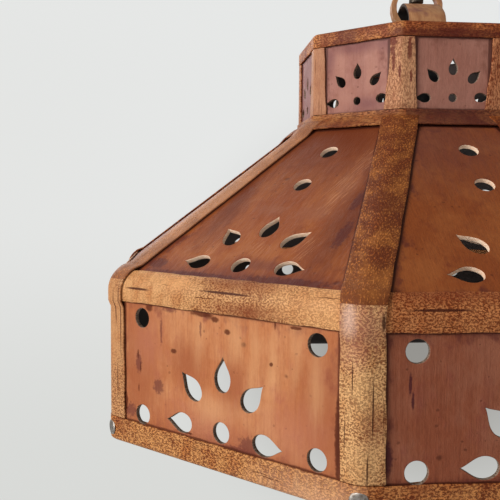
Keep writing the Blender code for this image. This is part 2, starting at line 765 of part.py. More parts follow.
def cross_screw(name, radius_out, height, parent=None):
    """Small screw set square to the cord, its tip just off the cord."""
    bm = bmesh.new()
    tip = CORD_RADIUS + GAP
    profile = [(0, radius_out + SCREW_HEAD), (SCREW_HEAD_RADIUS, radius_out + SCREW_HEAD),
               (SCREW_HEAD_RADIUS, radius_out), (SCREW_RADIUS, radius_out),
               (SCREW_RADIUS, tip), (0, tip)]
    frame = Matrix.Translation((0, 0, height)) @ Matrix.Rotation(-pi / 2, 4, "X")
    spun(bm, profile, HOLE_POINTS, frame)
    place(name, finish_mesh(bm, name, 40), BRASS, parent)


def screw_hole(name, reach, height, parent=None):
    bm = bmesh.new()
    rod(bm, (0, 0, height), (0, reach, height), SCREW_RADIUS + GAP, SIDES, pi / SIDES)
    return place(name, finish_mesh(bm, name), BRASS, parent)


def build_lock():
    bm = bmesh.new()
    edge = LOCK_RADIUS / 6
    profile = [(CORD_HOLE, LOCK_FOOT), (LOCK_RADIUS - edge, LOCK_FOOT),
               (LOCK_RADIUS, LOCK_FOOT + edge), (LOCK_RADIUS, LOCK_TOP - edge),
               (LOCK_RADIUS - edge, LOCK_TOP), (CORD_HOLE, LOCK_TOP)]
    turned(bm, profile, ROUND_STEPS)
    lock = place("cord_lock", finish_mesh(bm, "cord_lock", 40), BRASS)
    middle = (LOCK_TOP + LOCK_FOOT) / 2
    cut(lock, [screw_hole("lock_cutter", LOCK_RADIUS * 2, middle)])
    cross_screw("lock_screw", LOCK_RADIUS + GAP, middle)


def build_holder():
    """Lampholder: cap and shell, porcelain insert, screw sleeve, contact and cord grip."""
    wall = HOLDER_WALL
    shoulder = CAP_TOP - CAP_HEIGHT * 0.22
    waist = CAP_TOP - CAP_HEIGHT * 0.55
    outer = [(CAP_NOSE_RADIUS * 0.85, CAP_TOP), (CAP_NOSE_RADIUS, CAP_TOP - wall / 2),
             (CAP_NOSE_RADIUS, shoulder), (HOLDER_RADIUS * 0.80, (shoulder + waist) / 2),
             (HOLDER_RADIUS, waist), (HOLDER_RADIUS, CAP_FOOT)]
    inner = [(HOLDER_RADIUS - wall, CAP_FOOT), (HOLDER_RADIUS - wall, waist),
             (HOLDER_RADIUS * 0.80 - wall, (shoulder + waist) / 2 - wall / 2),
             (CAP_NOSE_RADIUS - wall / 2, shoulder - wall),
             (CAP_NOSE_RADIUS - wall / 2, CAP_TOP - wall), (CORD_HOLE, CAP_TOP - wall)]
    bm = bmesh.new()
    turned(bm, outer + inner + [(CORD_HOLE, CAP_TOP)], ROUND_STEPS)
    place("holder_cap", finish_mesh(bm, "holder_cap", 35), BLACK_PLASTIC)

    bm = bmesh.new()
    ledge = INSERT_FOOT - GAP
    seat = SLEEVE_RADIUS + GAP
    profile = [(HOLDER_RADIUS, SHELL_TOP), (HOLDER_RADIUS, SHELL_FOOT + MOUTH_LIP),
               (HOLDER_RADIUS - MOUTH_LIP / 2, SHELL_FOOT), (MOUTH_RADIUS, SHELL_FOOT),
               (MOUTH_RADIUS, ledge - wall), (HOLDER_RADIUS - wall * 2, ledge - wall),
               (HOLDER_RADIUS - wall * 2, ledge), (HOLDER_RADIUS - wall, ledge),
               (HOLDER_RADIUS - wall, SHELL_TOP)]
    profile = [(max(r, seat), z) for r, z in profile]
    turned(bm, profile, ROUND_STEPS)
    place("holder_shell", finish_mesh(bm, "holder_shell", 35), BLACK_PLASTIC)

    bm = bmesh.new()
    plug = HOLDER_RADIUS - wall - GAP
    spun(bm, [(0, INSERT_TOP), (plug, INSERT_TOP), (plug, INSERT_FOOT), (0, INSERT_FOOT)],
         ROUND_STEPS)
    place("holder_insert", finish_mesh(bm, "holder_insert", 40), PORCELAIN)

    bm = bmesh.new()
    top = INSERT_FOOT - GAP
    bore = SLEEVE_RADIUS - SLEEVE_WALL
    profile = [(SLEEVE_RADIUS, top), (SLEEVE_RADIUS, top - SLEEVE_HEIGHT),
               (bore, top - SLEEVE_HEIGHT), (bore, top)]
    turned(bm, profile, ROUND_STEPS)
    place("screw_sleeve", finish_mesh(bm, "screw_sleeve", 40), BRASS)

    bm = bmesh.new()
    half = CONTACT_WIDTH / 2
    reach = bore - GAP * 4
    upper = [(-reach, top), (-reach / 2, top), (0, top - CONTACT_DROP), (half, top - CONTACT_DROP)]
    lower = [(y, z - CONTACT_THICKNESS) for y, z in reversed(upper)]
    skin(bm, [[(x, y, z) for y, z in upper + lower] for x in (-half, half)])
    place("centre_contact", finish_mesh(bm, "centre_contact"), BRASS)

    bm = bmesh.new()
    foot = GRIP_TOP - GRIP_HEIGHT
    grip = min(GRIP_RADIUS, CAP_NOSE_RADIUS - wall / 2 - GAP)
    profile = [(CORD_HOLE, GRIP_TOP), (grip, GRIP_TOP), (grip, foot), (CORD_HOLE, foot)]
    turned(bm, profile, ROUND_STEPS)
    place("cord_grip", finish_mesh(bm, "cord_grip", 40), NYLON)


# Ceiling hook, cord hanger and cup

def wire(bm, points, radius, steps, closed=False):
    """Round bar along points that lie in one upright plane across Y."""
    rings = []
    count = len(points)
    for i, point in enumerate(points):
        before = points[(i - 1) % count] if closed or i else point
        after = points[(i + 1) % count] if closed or i < count - 1 else point
        along = (after - before).normalized()
        flat = Vector((0, 1, 0))
        side = along.cross(flat)
        ring = []
        for k in range(steps):
            angle = 2 * pi * (k + 0.5) / steps
            ring.append(point + side * radius * cos(angle) + flat * radius * sin(angle))
        rings.append(ring)
    skin(bm, rings, closed)


def build_ceiling_hook():
    bm = bmesh.new()
    spun(bm, [(0, 0), (PLATE_RADIUS, 0), (PLATE_RADIUS, -PLATE_THICKNESS), (0, -PLATE_THICKNESS)],
         ROUND_STEPS)
    plate = place("ceiling_hook", finish_mesh(bm, "ceiling_hook", 40), NICKEL)
    bm = bmesh.new()
    for x in (-PLATE_HOLE_ASIDE, PLATE_HOLE_ASIDE):
        rod(bm, (x, 0, PLATE_THICKNESS), (x, 0, -PLATE_THICKNESS * 2), PLATE_HOLE_RADIUS,
            HOLE_POINTS, pi / HOLE_POINTS)
    cut(plate, [place("plate_cutter", finish_mesh(bm, "plate_cutter"), NICKEL)])
    bm = bmesh.new()
    points = [Vector((HOOK_RADIUS, 0, -PLATE_THICKNESS / 2))]
    for step in range(11):
        angle = -pi * 1.1 * step / 10
        points.append(Vector((HOOK_RADIUS * cos(angle), 0, HOOK_CENTRE + HOOK_RADIUS * sin(angle))))
    wire(bm, points, HOOK_WIRE / 2, SIDES)
    hook = place("hook_wire", finish_mesh(bm, "hook_wire", 40), NICKEL)
    hook.hide_render = True
    hook.display_type = "WIRE"
    step = plate.modifiers.new("add_hook", "BOOLEAN")
    step.operation = "UNION"
    step.solver = "EXACT"
    step.object = hook


def build_hanger():
    bm = bmesh.new()
    half_x = HANGER_WIDTH / 2
    half_y = HANGER_DEPTH / 2
    edge = HANGER_DEPTH / 5
    rings = []
    for z, inset in ((HANGER_FOOT, edge), (HANGER_FOOT + edge, 0), (HANGER_TOP - edge, 0),
                     (HANGER_TOP, edge)):
        x = half_x - inset
        y = half_y - inset / 2
        rings.append([(-x, -y, z), (x, -y, z), (x, y, z), (-x, y, z)])
    skin(bm, rings)
    body = place("cord_hanger", finish_mesh(bm, "cord_hanger"), NYLON)
    bm = bmesh.new()
    rod(bm, (0, 0, HANGER_FOOT - HANGER_HEIGHT), (0, 0, CORD_TOP + GAP), CORD_HOLE, HOLE_POINTS)
    cut(body, [place("hanger_cutter", finish_mesh(bm, "hanger_cutter"), NYLON)])
    bm = bmesh.new()
    middle = EYE_TOP - EYE_WIRE / 2 - EYE_RADIUS
    points = []
    for step in range(LOOP_STEPS // 2):
        angle = 4 * pi * step / LOOP_STEPS
        points.append(Vector((0, EYE_RADIUS * cos(angle), middle + EYE_RADIUS * sin(angle))))
    rings = []
    for step, point in enumerate(points):
        angle = 4 * pi * step / LOOP_STEPS
        across = Vector((0, cos(angle), sin(angle)))
        ring = []
        for k in range(SIDES):
            turn = 2 * pi * k / SIDES
            radius = EYE_WIRE / 2
            ring.append(point + across * radius * cos(turn) + Vector((radius * sin(turn), 0, 0)))
        rings.append(ring)
    skin(bm, rings, closed=True)
    eye = place("hanger_eye", finish_mesh(bm, "hanger_eye", 40), NYLON)
    eye.hide_render = True
    eye.display_type = "WIRE"
    step = body.modifiers.new("add_eye", "BOOLEAN")
    step.operation = "UNION"
    step.solver = "EXACT"
    step.object = eye


def build_cup():
    top = -CUP_CEILING_GAP
    neck_top = CUP_BOTTOM + CUP_NECK_HEIGHT
    dome = top - neck_top
    outer = [(CUP_NECK_RADIUS, CUP_BOTTOM), (CUP_NECK_RADIUS, neck_top)]
    steps = 7
    for step in range(1, steps + 1):
        angle = pi / 2 * step / steps
        out = CUP_NECK_RADIUS + (CUP_RADIUS - CUP_NECK_RADIUS) * sin(angle)
        outer.append((out, neck_top + dome * 0.8 * (1 - cos(angle))))
    outer.append((CUP_RADIUS, top))
    inner = [(CUP_RADIUS - CUP_WALL, top)]
    for out, z in reversed(outer[2:-1]):
        inner.append((out - CUP_WALL * out / CUP_RADIUS, z + CUP_WALL * (1 - out / CUP_RADIUS)))
    inner.append((CORD_HOLE, neck_top + CUP_WALL))
    inner.append((CORD_HOLE, CUP_BOTTOM))
    bm = bmesh.new()
    turned(bm, outer + inner, CUP_STEPS)
    cup = place("ceiling_cup", finish_mesh(bm, "ceiling_cup", 35), CUP_PLASTIC, CUP)
    height = CUP_BOTTOM + CUP_NECK_HEIGHT / 2
    cut(cup, [screw_hole("cup_cutter", CUP_NECK_RADIUS * 2, height, CUP)])
    cross_screw("cup_screw", CUP_NECK_RADIUS + GAP, height, CUP)


build_skirt_panels()
build_cone_panels()
build_collar_band()
build_corner_ribs()
build_eave_strip()
build_cone_top_strip()
build_collar_corner_strips()
build_bottom_binding()
build_corner_rivets()
build_rim_binding()
build_bow()
build_loop()
build_cord()
build_lock()
build_holder()
build_ceiling_hook()
build_hanger()
build_cup()
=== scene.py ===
from math import atan2, cos, hypot, pi, radians, sin, tan

import bpy
from mathutils import Matrix, Vector, noise


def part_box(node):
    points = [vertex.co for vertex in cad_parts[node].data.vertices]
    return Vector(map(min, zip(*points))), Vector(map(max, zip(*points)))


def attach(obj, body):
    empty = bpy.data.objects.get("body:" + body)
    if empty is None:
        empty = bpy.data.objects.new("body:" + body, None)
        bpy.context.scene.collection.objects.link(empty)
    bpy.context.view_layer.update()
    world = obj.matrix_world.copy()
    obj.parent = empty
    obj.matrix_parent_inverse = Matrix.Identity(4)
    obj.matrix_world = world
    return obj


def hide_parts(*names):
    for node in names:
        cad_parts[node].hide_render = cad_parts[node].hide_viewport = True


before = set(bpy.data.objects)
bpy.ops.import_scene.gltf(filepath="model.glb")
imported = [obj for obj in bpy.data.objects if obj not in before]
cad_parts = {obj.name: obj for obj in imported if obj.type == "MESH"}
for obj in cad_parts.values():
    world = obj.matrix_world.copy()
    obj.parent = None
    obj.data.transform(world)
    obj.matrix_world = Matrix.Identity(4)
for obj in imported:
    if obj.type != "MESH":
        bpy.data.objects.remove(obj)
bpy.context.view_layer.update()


# The photographer stands with the camera level with the cone, half a metre from the cord,
# and looks down at the shade by a few degrees, with a lens of normal length.
BASE = -0.359012
CAMERA_PLACE = (-0.15014, -0.48531, BASE + 0.12991)
CAMERA_TURN, CAMERA_DIP, CAMERA_ROLL = radians(-5.033), 0.0646, 0.0070


def added(name, data):
    """New object in the scene."""
    piece = bpy.data.objects.new(name, data)
    bpy.context.collection.objects.link(piece)
    return piece


camera_data = bpy.data.cameras.new("camera")
camera_data.lens = 53.89
camera_data.sensor_width = 36.0
camera_data.clip_start = 0.01
camera = added("camera", camera_data)
camera.matrix_world = (
    Matrix.Translation(CAMERA_PLACE)
    @ Matrix.Rotation(CAMERA_TURN, 4, "Z")
    @ Matrix.Rotation(pi / 2 - CAMERA_DIP, 4, "X")
    @ Matrix.Rotation(CAMERA_ROLL, 4, "Z")
)
bpy.context.scene.camera = camera


# The cord is a round black sheathed lead. It comes up out of the lampholder, through the
# bow and the loop, and is held taut by the hanger inside the ceiling cup.
def new_material(name):
    """Node material, with its tree and its shader."""
    material = bpy.data.materials.new(name)
    material.use_nodes = True
    return material, material.node_tree, material.node_tree.nodes["Principled BSDF"]


def set_or_link(tree, socket, value):
    """Links a socket to another, or sets a plain number, vector or colour on it."""
    if isinstance(value, bpy.types.NodeSocket):
        tree.links.new(value, socket)
    else:
        socket.default_value = (*value, 1.0) if socket.type == "RGBA" else value


def feed(tree, sockets, **values):
    """Gives each named socket its value."""
    for key, value in values.items():
        set_or_link(tree, sockets[key.replace("_", " ")], value)


def put(tree, kind, **values):
    """Adds a node; a value goes to the node's setting, or else to the socket, of its name."""
    node = tree.nodes.new("ShaderNode" + kind)
    for key, value in values.items():
        if hasattr(node, key):
            setattr(node, key, value)
        else:
            feed(tree, node.inputs, **{key: value})
    return node


def maths(tree, operation, *values, kind="Math"):
    """Arithmetic on sockets and plain values."""
    node = put(tree, kind, operation=operation)
    for socket, value in zip(node.inputs, values):
        set_or_link(tree, socket, value)
    return node.outputs[1 if operation == "LENGTH" else 0]


def vectors(tree, operation, *values):
    return maths(tree, operation, *values, kind="VectorMath")


def times(tree, first, second):
    return maths(tree, "MULTIPLY", first, second)


def blended(tree, factor, first, second, way="MIX"):
    """Mixes two colours, each a socket or a plain colour, by a factor."""
    node = put(tree, "Mix", data_type="RGBA", blend_type=way)
    for index, value in ((0, factor), (6, first), (7, second)):
        set_or_link(tree, node.inputs[index], value)
    return node.outputs[2]


def spread(tree, value, low, high, to_low=0.0, to_high=1.0):
    """Smooth step of a value between two levels."""
    return put(tree, "MapRange", interpolation_type="SMOOTHSTEP", Value=value,
               From_Min=low, From_Max=high, To_Min=to_low, To_Max=to_high).outputs[0]


def bumped(tree, shader, height, depth):
    """Relief of a given depth in metres."""
    bump = put(tree, "Bump", Distance=depth, Height=height)
    tree.links.new(bump.outputs[0], shader.inputs["Normal"])


def noise_at(tree, scale, detail, stretch=None):
    """Noise through the piece, in cells that may be stretched along an axis."""
    place = put(tree, "TexCoord").outputs["Object"]
    if stretch:
        place = put(tree, "Mapping", Vector=place, Scale=stretch).outputs[0]
    return put(tree, "TexNoise", Vector=place, Scale=scale, Detail=detail).outputs[0]


def worn_material(name, colour, worn, rough, scale, detail, levels, depth,
                  stretch=None, uneven=0.0, **values):
    """Material of two colours mingled by noise, which also gives its relief."""
    material, tree, shader = new_material(name)
    wear = noise_at(tree, scale, detail, stretch)
    share = spread(tree, wear, *levels) if levels else wear
    roughness = maths(tree, "MULTIPLY_ADD", wear, uneven, rough) if uneven else rough
    feed(tree, shader.inputs, Base_Color=blended(tree, share, colour, worn), Roughness=roughness, **values)
    bumped(tree, shader, wear, depth)
    return material


cord_low, cord_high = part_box("cord")
cord_length = cord_high[2] - cord_low[2]
cord_curve = bpy.data.curves.new("cord_cover", "CURVE")
cord_curve.dimensions = "3D"
cord_curve.bevel_depth = 0.0023
cord_curve.bevel_resolution = 6
cord_curve.use_fill_caps = True
cord_spline = cord_curve.splines.new("POLY")
cord_spline.points.add(15)
for step, point in enumerate(cord_spline.points):
    point.co = (0, 0, cord_low[2] + cord_length * step / 15, 1)
cord = added("cord_cover", cord_curve)
cord_curve.materials.append(worn_material(
    "cord_sheath", (0.02, 0.018, 0.016), (0.05, 0.045, 0.04), 0.42, 900.0, 3.0, None, 0.00008))
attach(cord, "hanging")
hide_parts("cord")


# The skirt panels are flat sheets of birch bark, 2.5 mm thick, cut square and punched with
# a fan of drops over a round hole and a hole near each corner. The warm inner side of the
# bark faces out, with its fine upright grain, a few pores, stains along the seams and a
# thin painted shade line at the strips' edges.
SIDES = 8
HALF = pi / SIDES
CORNER = tan(HALF)
SKIRT_R, SKIRT_HEIGHT, EAVE_SETBACK = 0.18875, 0.0878, 0.0048
BARK, BINDING, GAP = 0.0025, 0.0012, 0.0003
HOLE_R = 0.0051
MILLIMETRES = 1000.0
SHIFT_ACROSS, SHIFT_ALONG = 17.31, 9.77


def on_side(side, aside, out, height):
    """Point at a distance from the cord, square to a side, and aside along it."""
    angle = -pi / 2 + side * 2 * HALF
    return Vector((out * cos(angle) - aside * sin(angle), out * sin(angle) + aside * cos(angle), height))


def new_group(name, inputs, outputs):
    """Node group; its Flat and Shift sockets are vectors and all others are numbers."""
    group = bpy.data.node_groups.new(name, "ShaderNodeTree")
    for way, labels in (("INPUT", inputs), ("OUTPUT", outputs)):
        for label in labels:
            kind = "NodeSocketVector" if label in ("Flat", "Shift") else "NodeSocketFloat"
            group.interface.new_socket(label, in_out=way, socket_type=kind)
    return group, group.nodes.new("NodeGroupInput").outputs, group.nodes.new("NodeGroupOutput").inputs


def stretched(tree, vector, across, along, shift=(0.0, 0.0, 0.0)):
    """Flat coordinates in cells of the given size in millimetres, moved for each sheet."""
    return vectors(tree, "ADD", vectors(tree, "MULTIPLY", vector, (1 / across, 1 / along, 1.0)), shift)


def in_cells(tree, given, lift=0.0):
    """Flat coordinates in cells of the group's own Long and Short, moved for each sheet."""
    parted = put(tree, "SeparateXYZ", Vector=given["Flat"]).outputs
    x = maths(tree, "DIVIDE", parted[0], given["Long"])
    y = maths(tree, "DIVIDE", maths(tree, "ADD", parted[1], lift), given["Short"])
    return vectors(tree, "ADD", put(tree, "CombineXYZ", X=x, Y=y).outputs[0], given["Shift"])


# Bark's own marks, measured in millimetres on the flat sheet
tree, given, out = new_group("bark_flat", [], ["Flat", "Shift", "Tone", "Number"])
bark_flat = tree
flat = put(tree, "UVMap", uv_map="flat").outputs[0]
in_millimetres = put(tree, "VectorMath", operation="SCALE", Vector=flat, Scale=MILLIMETRES).outputs[0]
sheet = put(tree, "Attribute", attribute_name="sheet").outputs["Fac"]
shift = put(tree, "CombineXYZ", X=times(tree, sheet, SHIFT_ACROSS), Y=times(tree, sheet, SHIFT_ALONG))
tone = put(tree, "Attribute", attribute_name="tone").outputs["Fac"]
feed(tree, out, Flat=in_millimetres, Shift=shift.outputs[0], Tone=tone, Number=sheet)

tree, given, out = new_group("bark_grain", ["Flat", "Shift"], ["Streaks", "Fibres", "Patches", "Clouds"])
bark_grain = tree
for name, across, along, detail, rough in (
        ("Streaks", 1.6, 34.0, 5.0, 0.70), ("Fibres", 0.55, 3.2, 3.0, 0.6),
        ("Patches", 26.0, 34.0, 5.0, 0.62), ("Clouds", 9.0, 13.0, 5.0, 0.6)):
    cells = stretched(tree, given["Flat"], across, along, given["Shift"])
    pattern = put(tree, "TexNoise", Vector=cells, Scale=1.0, Detail=detail, Roughness=rough)
    tree.links.new(pattern.outputs[0], out[name])

# Pores are short dark dashes, one to a cell; some cells stay empty
tree, given, out = new_group("bark_pores", ["Flat", "Shift", "Long", "Short", "Share", "Size"], ["Pores"])
bark_pores = tree
wander = put(tree, "TexNoise", Vector=given["Flat"], Scale=0.35, Detail=1.0).outputs[0]
cells = in_cells(tree, given, times(tree, wander, 1.2))
cells = put(tree, "TexVoronoi", voronoi_dimensions="2D", Vector=cells, Scale=1.0, Randomness=1.0).outputs
drawn = put(tree, "SeparateColor", Color=cells["Color"]).outputs
size = times(tree, maths(tree, "ADD", drawn[0], 0.45), given["Size"])
dash = spread(tree, maths(tree, "SUBTRACT", size, cells["Distance"]), -0.04, 0.08)
feed(tree, out, Pores=times(tree, dash, maths(tree, "LESS_THAN", drawn[1], given["Share"])))

# Specks are the finest pores, run together into an uneven net
tree, given, out = new_group("bark_specks", ["Flat", "Shift", "Long", "Short", "Level"], ["Specks"])
bark_specks = tree
net = put(tree, "TexNoise", Vector=in_cells(tree, given), Scale=1.0, Detail=3.0, Roughness=0.7).outputs[0]
feed(tree, out, Specks=spread(tree, maths(tree, "SUBTRACT", net, given["Level"]), -0.015, 0.03))

# Along the seams between a sheet and its strips: a thin dark line at the strip's edge, which is painted
# shade, and a wider band where glue, dirt and dark bark gather
tree, given, out = new_group(
    "bark_seams", ["Flat", "Clouds", "Half width", "Taper", "Low", "High"], ["Line", "Stain"])
bark_seams = tree
parted = put(tree, "SeparateXYZ", Vector=given["Flat"]).outputs
reach = maths(tree, "SUBTRACT", given["Half width"], times(tree, parted[1], given["Taper"]))
side_way = maths(tree, "SUBTRACT", reach, maths(tree, "ABSOLUTE", parted[0]))
low_way = maths(tree, "SUBTRACT", parted[1], given["Low"])
high_way = maths(tree, "SUBTRACT", given["High"], parted[1])
way = maths(tree, "MINIMUM", side_way, maths(tree, "MINIMUM", low_way, high_way))
near = times(tree, maths(tree, "SUBTRACT", given["Clouds"], 0.5), 2.0)
far = times(tree, maths(tree, "SUBTRACT", given["Clouds"], 0.62), 40.0)
feed(tree, out, Line=spread(tree, maths(tree, "ADD", way, near), 0.2, 1.1, 1.0, 0.0),
     Stain=spread(tree, maths(tree, "SUBTRACT", way, far), 0.0, 9.0, 1.0, 0.0))


def placed(tree, group, **values):
    """Puts a group to use and returns its outputs."""
    node = put(tree, "Group", node_tree=group)
    feed(tree, node.inputs, **values)
    return node.outputs


def toned(tree, tone, colour, deep=(0.38, 0.23, 0.40)):
    """Darker and redder bark for sheets of a low tone, which on the first side is partly painted shade."""
    return blended(tree, tone, blended(tree, 1.0, colour, deep, "MULTIPLY"), colour)


# Kinds of marks: where each fades out, and the cells in millimetres that make it ragged
SOFT = {"near": 0.10, "far": 1.60, "across": 2.6, "along": 14.0}
TORN = {"near": 0.55, "far": 1.10, "across": 1.8, "along": 1.8}
SCRATCHED = {**TORN, "scratched": True}


def spots(name, number, kind, fray, places):
    """Marks of one numbered sheet, each at its place with its two half widths in millimetres."""
    group, given, out = new_group(name, ["Flat", "Number"], ["Mask"])
    cells = stretched(group, given["Flat"], kind["across"], kind["along"])
    torn = put(group, "TexNoise", Vector=cells, Scale=1.0, Detail=4.0).outputs[0]
    near, far = kind["near"] + fray / 2, kind["far"] + fray / 2
    found = 0.0
    for x, y, half_x, half_y in places:
        away = vectors(group, "SUBTRACT", given["Flat"], (x, y, 0.0))
        length = vectors(group, "LENGTH", vectors(group, "DIVIDE", away, (half_x, half_y, 1.0)))
        ragged = maths(group, "MULTIPLY_ADD", torn, fray, length)
        found = maths(group, "MAXIMUM", found, spread(group, ragged, near, far, 1.0, 0.0))
    found = times(group, found, maths(group, "COMPARE", given["Number"], number, 0.4))
    if "scratched" in kind:
        tilted = put(group, "Mapping", Vector=given["Flat"], Rotation=(0.0, 0.0, 0.30)).outputs[0]
        lines = put(group, "TexNoise", Vector=stretched(group, tilted, 0.55, 14.0), Scale=1.0, Detail=2.0)
        found = times(group, spread(group, lines.outputs[0], 0.52, 0.66), found)
    feed(group, out, Mask=found)
    return group


def mask_of(tree, flat, *mark):
    """Where a group of marks lies on the sheet."""
    return placed(tree, spots(*mark), Flat=flat["Flat"], Number=flat["Number"])["Mask"]


def marked(tree, flat, colour, marks):
    """Paints groups of listed marks over a colour, each with its own tint and strength."""
    for name, number, kind, fray, tint, share, places in marks:
        mask = mask_of(tree, flat, name, number, kind, fray, places)
        colour = blended(tree, times(tree, mask, share), colour, tint)
    return colour


def sheet_material(name, pale, warm, red, grain_dark, stain, pore, seams,
                   roughness, stain_share, streaked, marks):
    """Bark sheet: two warm tones in patches, streaked grain, scattered pores and seams."""
    material, tree, shader = new_material(name)
    flat = placed(tree, bark_flat)
    where = {"Flat": flat["Flat"], "Shift": flat["Shift"]}
    grain = placed(tree, bark_grain, **where)
    large = placed(tree, bark_pores, Long=15.0, Short=11.0, Share=0.04, Size=0.12, **where)
    small = placed(tree, bark_pores, Long=4.0, Short=3.4, Share=0.07, Size=0.15, **where)
    edges = placed(tree, bark_seams, Flat=flat["Flat"], Clouds=grain["Clouds"], **seams)
    pores = maths(tree, "MAXIMUM", large["Pores"], times(tree, small["Pores"], 0.7))
    colour = blended(tree, spread(tree, grain["Patches"], 0.36, 0.60), pale, warm)
    for share, tint in ((spread(tree, grain["Clouds"], 0.50, 0.80), red),
                        (spread(tree, grain["Streaks"], 0.40, 0.72, 0.0, streaked), grain_dark),
                        (spread(tree, grain["Fibres"], 0.45, 0.75, 0.0, 0.34), pale),
                        (spread(tree, grain["Fibres"], 0.50, 0.22, 0.0, 0.30), grain_dark),
                        (times(tree, edges["Stain"], stain_share), stain),
                        (times(tree, pores, 0.60), pore)):
        colour = blended(tree, share, colour, tint)
    colour = marked(tree, flat, colour, marks)
    # Thin painted shade line along the edges of the strips that lie over the sheet.
    colour = blended(tree, times(tree, edges["Line"], 0.8), colour, pore)
    feed(tree, shader.inputs, Base_Color=toned(tree, flat["Tone"], colour), Specular_IOR_Level=0.13,
         Roughness=maths(tree, "MULTIPLY_ADD", grain["Clouds"], 0.25, roughness - 0.12))
    relief = maths(tree, "MULTIPLY_ADD", grain["Streaks"], 0.5, times(tree, grain["Fibres"], 0.3))
    relief = maths(tree, "SUBTRACT", relief, times(tree, pores, 0.35))
    bumped(tree, shader, maths(tree, "MULTIPLY_ADD", grain["Clouds"], 2.0, relief), 0.00035)
    return material


skirt_seams = {"Half_width": 67.5, "Low": 13.2, "High": 76.6}
skirt_marks = [
    ("front_dark", 8, SOFT, 1.1, (0.34, 0.095, 0.038), 0.72, [
        (-58, 42, 20, 50), (62, 36, 18, 42), (0, 12, 74, 12), (-22, 50, 15, 13), (8, 44, 9, 14)]),
    ("front_pink", 8, SOFT, 1.2, (0.50, 0.185, 0.11), 0.42, [
        (-10, 22, 26, 12), (44, 28, 18, 14), (-50, 58, 11, 14)]),
    ("front_pale", 8, SOFT, 1.6, (0.72, 0.38, 0.18), 0.36, [
        (22, 60, 4, 20), (32, 54, 3, 18), (45, 66, 4, 14), (10, 68, 6, 12), (56, 50, 4, 16),
        (-4, 30, 16, 7), (-14, 62, 4, 13)]),
    ("front_stains", 8, TORN, 1.6, (0.115, 0.026, 0.026), 0.62, [
        (-42, 35, 4, 4.5), (19, 17, 7.5, 4.5), (-34, 75.8, 5, 2.2), (-57, 45, 2.6, 6), (-40, 64, 0.9, 8),
        (-12.5, 68, 0.9, 4), (-63, 19, 5, 4), (14, 13.8, 12, 1.5)]),
    ("front_knots", 8, TORN, 0.9, (0.10, 0.018, 0.005), 0.86, [
        (5, 68.6, 2.2, 1.5), (-31, 54.7, 2.4, 1.4), (31.5, 57, 1.2, 1.1), (-12, 75.4, 8, 1.5),
        (-3, 73.6, 3, 1.6), (-49, 75, 3.2, 2.2), (33.5, 75.5, 0.6, 2.4), (45, 75, 4, 0.9),
        (-23, 15, 6.5, 0.8), (67.2, 31, 1.5, 19), (-67, 23, 1.6, 6), (-67.3, 56, 0.7, 4),
        (-57.5, 49.5, 0.7, 3), (-55.6, 43, 0.6, 3.6), (-57, 32, 0.5, 2.6)]),
    ("side_scar", 1, TORN, 1, (0.10, 0.02, 0.03), 0.8, [
        (-57.4, 55.5, 0.8, 5.5), (-56.2, 48, 0.7, 4.5), (-66.5, 24, 2.6, 8)])]
skirt_tan = sheet_material(
    "skirt_bark_tan",
    (0.60, 0.26, 0.115), (0.51, 0.175, 0.065), (0.46, 0.145, 0.08), (0.32, 0.09, 0.036),
    (0.16, 0.04, 0.028), (0.09, 0.02, 0.009), skirt_seams,
    roughness=0.50, stain_share=0.55, streaked=0.42, marks=skirt_marks)


def edge_material(name, pale, dark):
    """Cut edge of bark, with the thin layers that the sheet is grown in."""
    return worn_material(name, pale, dark, 0.85, 1.0, 3.0, (0.35, 0.65), 0.0001,
                         stretch=(500.0, 500.0, 2600.0), Specular_IOR_Level=0.10)


weathered_edge = edge_material("bark_edge_weathered", (0.30, 0.215, 0.16), (0.13, 0.08, 0.055))
# Inner faces of the bark: near black, a painted shadow for the dark inside of the lamp.
bark_inside_painted_shadow = worn_material(
    "bark_inside_painted_shadow", (0.026, 0.011, 0.007), (0.012, 0.005, 0.003), 0.7, 60.0, 5.0, (0.35, 0.70), 0.0003)


def alone(piece):
    """Selects one piece and makes it active."""
    bpy.ops.object.select_all(action="DESELECT")
    piece.select_set(True)
    bpy.context.view_layer.objects.active = piece


def welded(threshold=0.00001):
    """Welds the active piece's doubled points and turns its faces outward."""
    bpy.ops.object.mode_set(mode="EDIT")
    bpy.ops.mesh.select_all(action="SELECT")
    bpy.ops.mesh.remove_doubles(threshold=threshold)
    bpy.ops.mesh.normals_make_consistent(inside=False)
    bpy.ops.object.mode_set(mode="OBJECT")


def outline_curve(corners):
    """Closed straight-sided outline on the work plane, drawn from a circle of four points."""
    bpy.ops.object.select_all(action="DESELECT")
    bpy.ops.curve.primitive_bezier_circle_add(radius=0.01)
    outline = bpy.context.object
    for point, corner in zip(outline.data.splines[0].bezier_points, corners):
        point.handle_left_type = point.handle_right_type = "VECTOR"
        point.co = (*corner, 0)
    return outline


def round_punch(x, y, radius):
    """Round hole."""
    bpy.ops.object.select_all(action="DESELECT")
    bpy.ops.curve.primitive_bezier_circle_add(radius=radius, location=(x, y, 0))
    bpy.ops.object.transform_apply(location=True)
    return bpy.context.object


def drop_punch(x, y, direction, radius, reach, tip):
    """Drop with its round end at reach from a centre and its point at tip."""
    bpy.ops.object.select_all(action="DESELECT")
    bpy.ops.curve.primitive_bezier_circle_add(radius=radius)
    drop = bpy.context.object
    point = drop.data.splines[0].bezier_points[2]
    point.handle_left_type = point.handle_right_type = "VECTOR"
    point.co = (tip - reach, 0, 0)
    drop.location = (x + reach * cos(direction), y + reach * sin(direction), 0)
    drop.rotation_euler.z = direction
    bpy.ops.object.transform_apply(location=True, rotation=True)
    return drop


